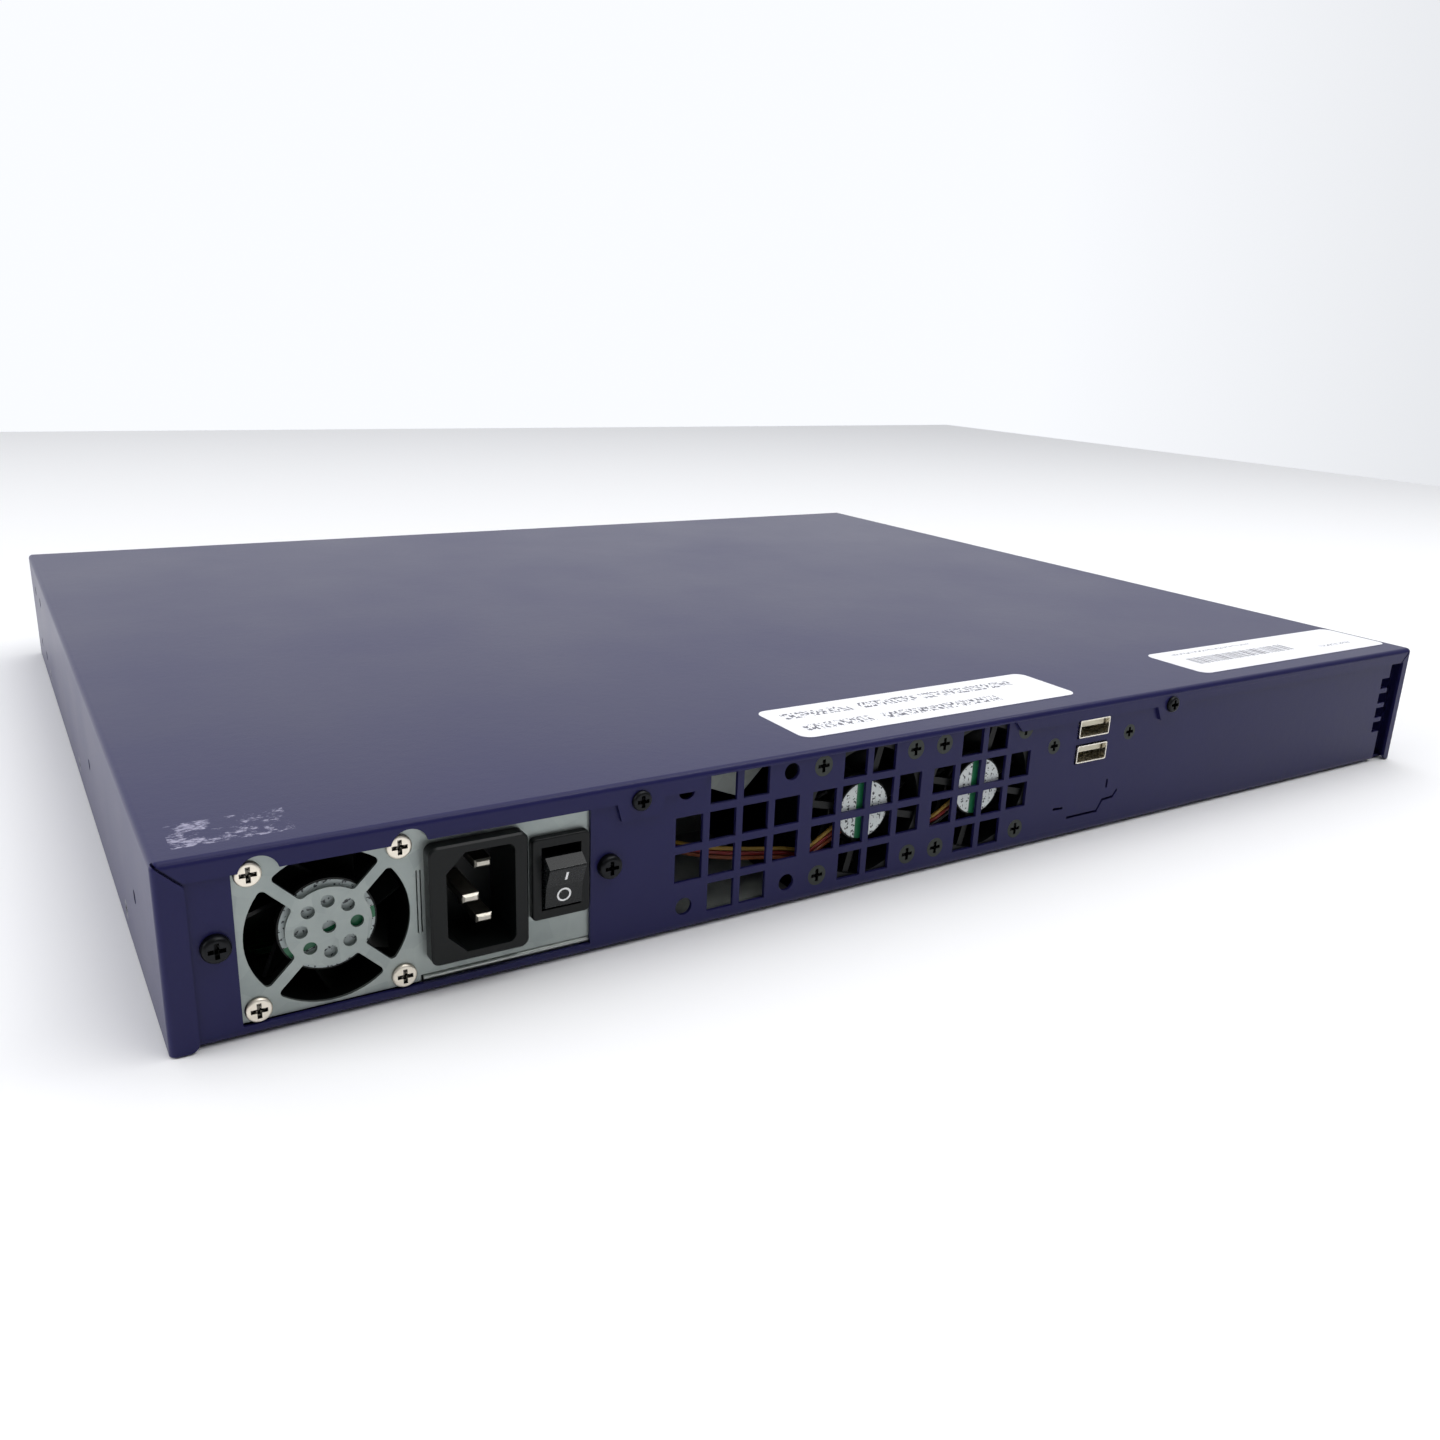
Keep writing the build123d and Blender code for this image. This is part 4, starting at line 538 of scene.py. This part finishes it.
single_wires("fan_leads", ["yellow", "red", "orange", "red", "black", "yellow"])
single_wires("supply_leads", ["yellow", "black", "red", "orange", "black", "red"])


# ---- service sockets ----
# The insulators of the two serial bus sockets are cream thermoplastic inside nickel shells.

finish_nodes(moulded("cream_thermoplastic", "e6dfc8", 0.45), "usb_tongues")


# ---- display, keys and lamps in the front panel ----
# A smoked acrylic pane over a liquid crystal glass in a black steel bezel, four silicone keys
# with raised arrows, a reset button and three clear light pipes.

finish_nodes(plated("black_steel_bezel", "2a2b2e", 0.4, 0.6), "display_module")
pane, pane_shader = material("smoked_acrylic", "b9c7bf", 0.05)
pane_shader.inputs["Transmission Weight"].default_value = 0.9
pane_shader.inputs["IOR"].default_value = 1.49
pane_place = add(pane, "ShaderNodeTexCoord", {}).outputs["Object"]
pane_wave = add(pane, "ShaderNodeTexNoise", {"Scale": 60.0}, [("Vector", pane_place)])
pane_bump = add(pane, "ShaderNodeBump", {"Strength": 0.02, "Distance": 0.0002},
                [("Height", pane_wave.outputs["Fac"])])
pane.node_tree.links.new(pane_bump.outputs["Normal"], pane_shader.inputs["Normal"])
finish_nodes(pane, "display_window")
finish_nodes(moulded("grey_silicone_key", "3c3d44", 0.5),
             "key_up", "key_down", "key_left", "key_right", "reset_button")
lamp, lamp_shader = material("clear_acrylic_rod", "bfe6c8", 0.12)
lamp_shader.inputs["Transmission Weight"].default_value = 0.7
lamp_place = add(lamp, "ShaderNodeTexCoord", {}).outputs["Object"]
lamp_haze = add(lamp, "ShaderNodeTexNoise", {"Scale": 900.0}, [("Vector", lamp_place)])
lamp_rough = add(lamp, "ShaderNodeMapRange", {"To Min": 0.08, "To Max": 0.22},
                 [("Value", lamp_haze.outputs["Fac"])])
lamp.node_tree.links.new(lamp_rough.outputs["Result"], lamp_shader.inputs["Roughness"])
finish_nodes(lamp, "light_pipes")

# The glass shows two rows of sixteen blank cells, each 2.95 mm wide and 5.55 mm tall.
glass, glass_shader = material("liquid_crystal_glass", "8fa23c", 0.12)
glass_place = add(glass, "ShaderNodeTexCoord", {}).outputs["Object"]
glass_flat = add(glass, "ShaderNodeMapping", {"Rotation": (math.pi / 2, 0, 0)}, [("Vector", glass_place)])
cells = add(glass, "ShaderNodeTexBrick",
            {"Scale": 1.0, "Brick Width": 0.00355, "Row Height": 0.0061, "Mortar Size": 0.0005, "offset": 0.0,
             "Color1": linear("7d8f33"), "Color2": linear("829436"), "Mortar": linear("93a63f")},
            [("Vector", glass_flat.outputs["Vector"])])
glass.node_tree.links.new(cells.outputs["Color"], glass_shader.inputs["Base Color"])
bezel_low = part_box("display_module")[0]
bpy.ops.object.select_all(action="DESELECT")
bpy.ops.mesh.primitive_cube_add(size=1, location=(0.118, bezel_low.y + 0.00035, 0.024))
crystal = bpy.context.object
bpy.ops.object.mode_set(mode="EDIT")
bpy.ops.transform.resize(value=(0.0638, 0.0006, 0.0158))
bpy.ops.mesh.bevel(offset=0.0001, segments=2)
bpy.ops.object.mode_set(mode="OBJECT")
settle(crystal, "liquid_crystal_glass", glass, "chassis")

for key, turn in (("key_up", 0), ("key_down", 180), ("key_left", -90), ("key_right", 90)):
    low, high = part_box(key)
    bpy.ops.object.select_all(action="DESELECT")
    bpy.ops.mesh.primitive_cylinder_add(vertices=3, radius=0.0013, depth=0.0001,
                                        location=((low.x + high.x) / 2, low.y, (low.z + high.z) / 2),
                                        rotation=(math.pi / 2, math.radians(turn), 0))
    arrow = bpy.context.object
    bpy.ops.object.mode_set(mode="EDIT")
    bpy.ops.mesh.bevel(offset=0.00003, segments=2)
    bpy.ops.object.mode_set(mode="OBJECT")
    settle(arrow, key + "_arrow", white_foil, key)


# ---- top cover ----
# Top and sides of one folded steel sheet in the same violet navy powder. Near the supply's
# corner a peeled sticker has left a scuffed patch of dried adhesive, 25 by 14 mm.

lid, lid_shader, lid_place, lid_tone, lid_gloss = powder_coat("violet_navy_powder_coat_lid")
lid_split = add(lid, "ShaderNodeSeparateXYZ", {}, [("Vector", lid_place)])
patch = print_area(lid, lid_split, 0.2025, 0.0125, 0.1693, 0.0068)
streaks = add(lid, "ShaderNodeMapping", {"Scale": (900.0, 1800.0, 900.0)}, [("Vector", lid_place)])
scuff = add(lid, "ShaderNodeTexNoise", {"Scale": 1.0, "Detail": 5.0, "Roughness": 0.7},
            [("Vector", streaks.outputs["Vector"])])
blotch = add(lid, "ShaderNodeTexNoise", {"Scale": 260.0, "Detail": 2.0}, [("Vector", lid_place)])
worn = add(lid, "ShaderNodeMath", {"operation": "ADD"},
           [(0, scuff.outputs["Fac"]), (1, blotch.outputs["Fac"])])
specks = add(lid, "ShaderNodeMapRange", {"From Min": 1.04, "From Max": 1.2},
             [("Value", worn.outputs["Value"])])
glue = add(lid, "ShaderNodeMath", {"operation": "MULTIPLY"},
           [(0, patch), (1, specks.outputs["Result"])]).outputs["Value"]
lid_colour = add(lid, "ShaderNodeMix", {"data_type": "RGBA", 7: linear("9c9ab0")},
                 [(0, glue), (6, lid_tone)])
lid.node_tree.links.new(lid_colour.outputs[2], lid_shader.inputs["Base Color"])
lid_rough = add(lid, "ShaderNodeMix", {"data_type": "FLOAT", 3: 0.75}, [(0, glue), (2, lid_gloss)])
lid.node_tree.links.new(lid_rough.outputs[0], lid_shader.inputs["Roughness"])
finish_nodes(lid, "top_cover")


# ---- stickers on the cover ----
# Thermal-printed white paper with rounded corners. The print is generic: rows of short broken
# strokes and one band of plain bars.

def printed_paper(name, rows):
    """White paper. A row is (x middle, half width, y middle, half height, strokes per m, bars)."""
    made, shader = material(name, "f0f0f4", 0.4)
    place = add(made, "ShaderNodeTexCoord", {}).outputs["Object"]
    split = add(made, "ShaderNodeSeparateXYZ", {}, [("Vector", place)])
    colour = None
    for x, half_x, y, half_y, strokes, bars in rows:
        area = print_area(made, split, x, half_x, y, half_y)
        stretch = add(made, "ShaderNodeMapping", {"Scale": (strokes, 0.0 if bars else strokes * 0.45, 0.0)},
                      [("Vector", place)])
        marks = add(made, "ShaderNodeTexNoise", {"Scale": 1.0, "Detail": 1.0},
                    [("Vector", stretch.outputs["Vector"])])
        dark = add(made, "ShaderNodeMath", {"operation": "GREATER_THAN", 1: 0.5 if bars else 0.53},
                   [(0, marks.outputs["Fac"])])
        mask = add(made, "ShaderNodeMath", {"operation": "MULTIPLY"},
                   [(0, area), (1, dark.outputs["Value"])])
        links = [(0, mask.outputs["Value"])] + ([(6, colour)] if colour else [])
        mix = add(made, "ShaderNodeMix",
                  {"data_type": "RGBA", 6: linear("f0f0f4"), 7: linear("5a5a66")}, links)
        colour = mix.outputs[2]
    made.node_tree.links.new(colour, shader.inputs["Base Color"])
    grain = add(made, "ShaderNodeTexNoise", {"Scale": 1500.0}, [("Vector", place)])
    bump = add(made, "ShaderNodeBump", {"Strength": 0.05, "Distance": 0.00005},
               [("Height", grain.outputs["Fac"])])
    made.node_tree.links.new(bump.outputs["Normal"], shader.inputs["Normal"])
    return made


finish_nodes(printed_paper("asset_sticker_paper", [
    (0.0375, 0.0120, 0.1545, 0.0024, 1100.0, False),
    (0.0110, 0.0110, 0.1545, 0.0024, 1100.0, False),
    (-0.0205, 0.0185, 0.1545, 0.0024, 1100.0, False),
    (0.0375, 0.0120, 0.1655, 0.0024, 1100.0, False),
    (-0.0010, 0.0225, 0.1655, 0.0024, 1100.0, False)]), "asset_label")
finish_nodes(printed_paper("serial_sticker_paper", [
    (-0.1470, 0.0270, 0.1610, 0.0035, 1500.0, True),
    (-0.1420, 0.0220, 0.1520, 0.0007, 1800.0, False),
    (-0.1960, 0.0090, 0.1660, 0.0009, 1800.0, False)]), "serial_label")
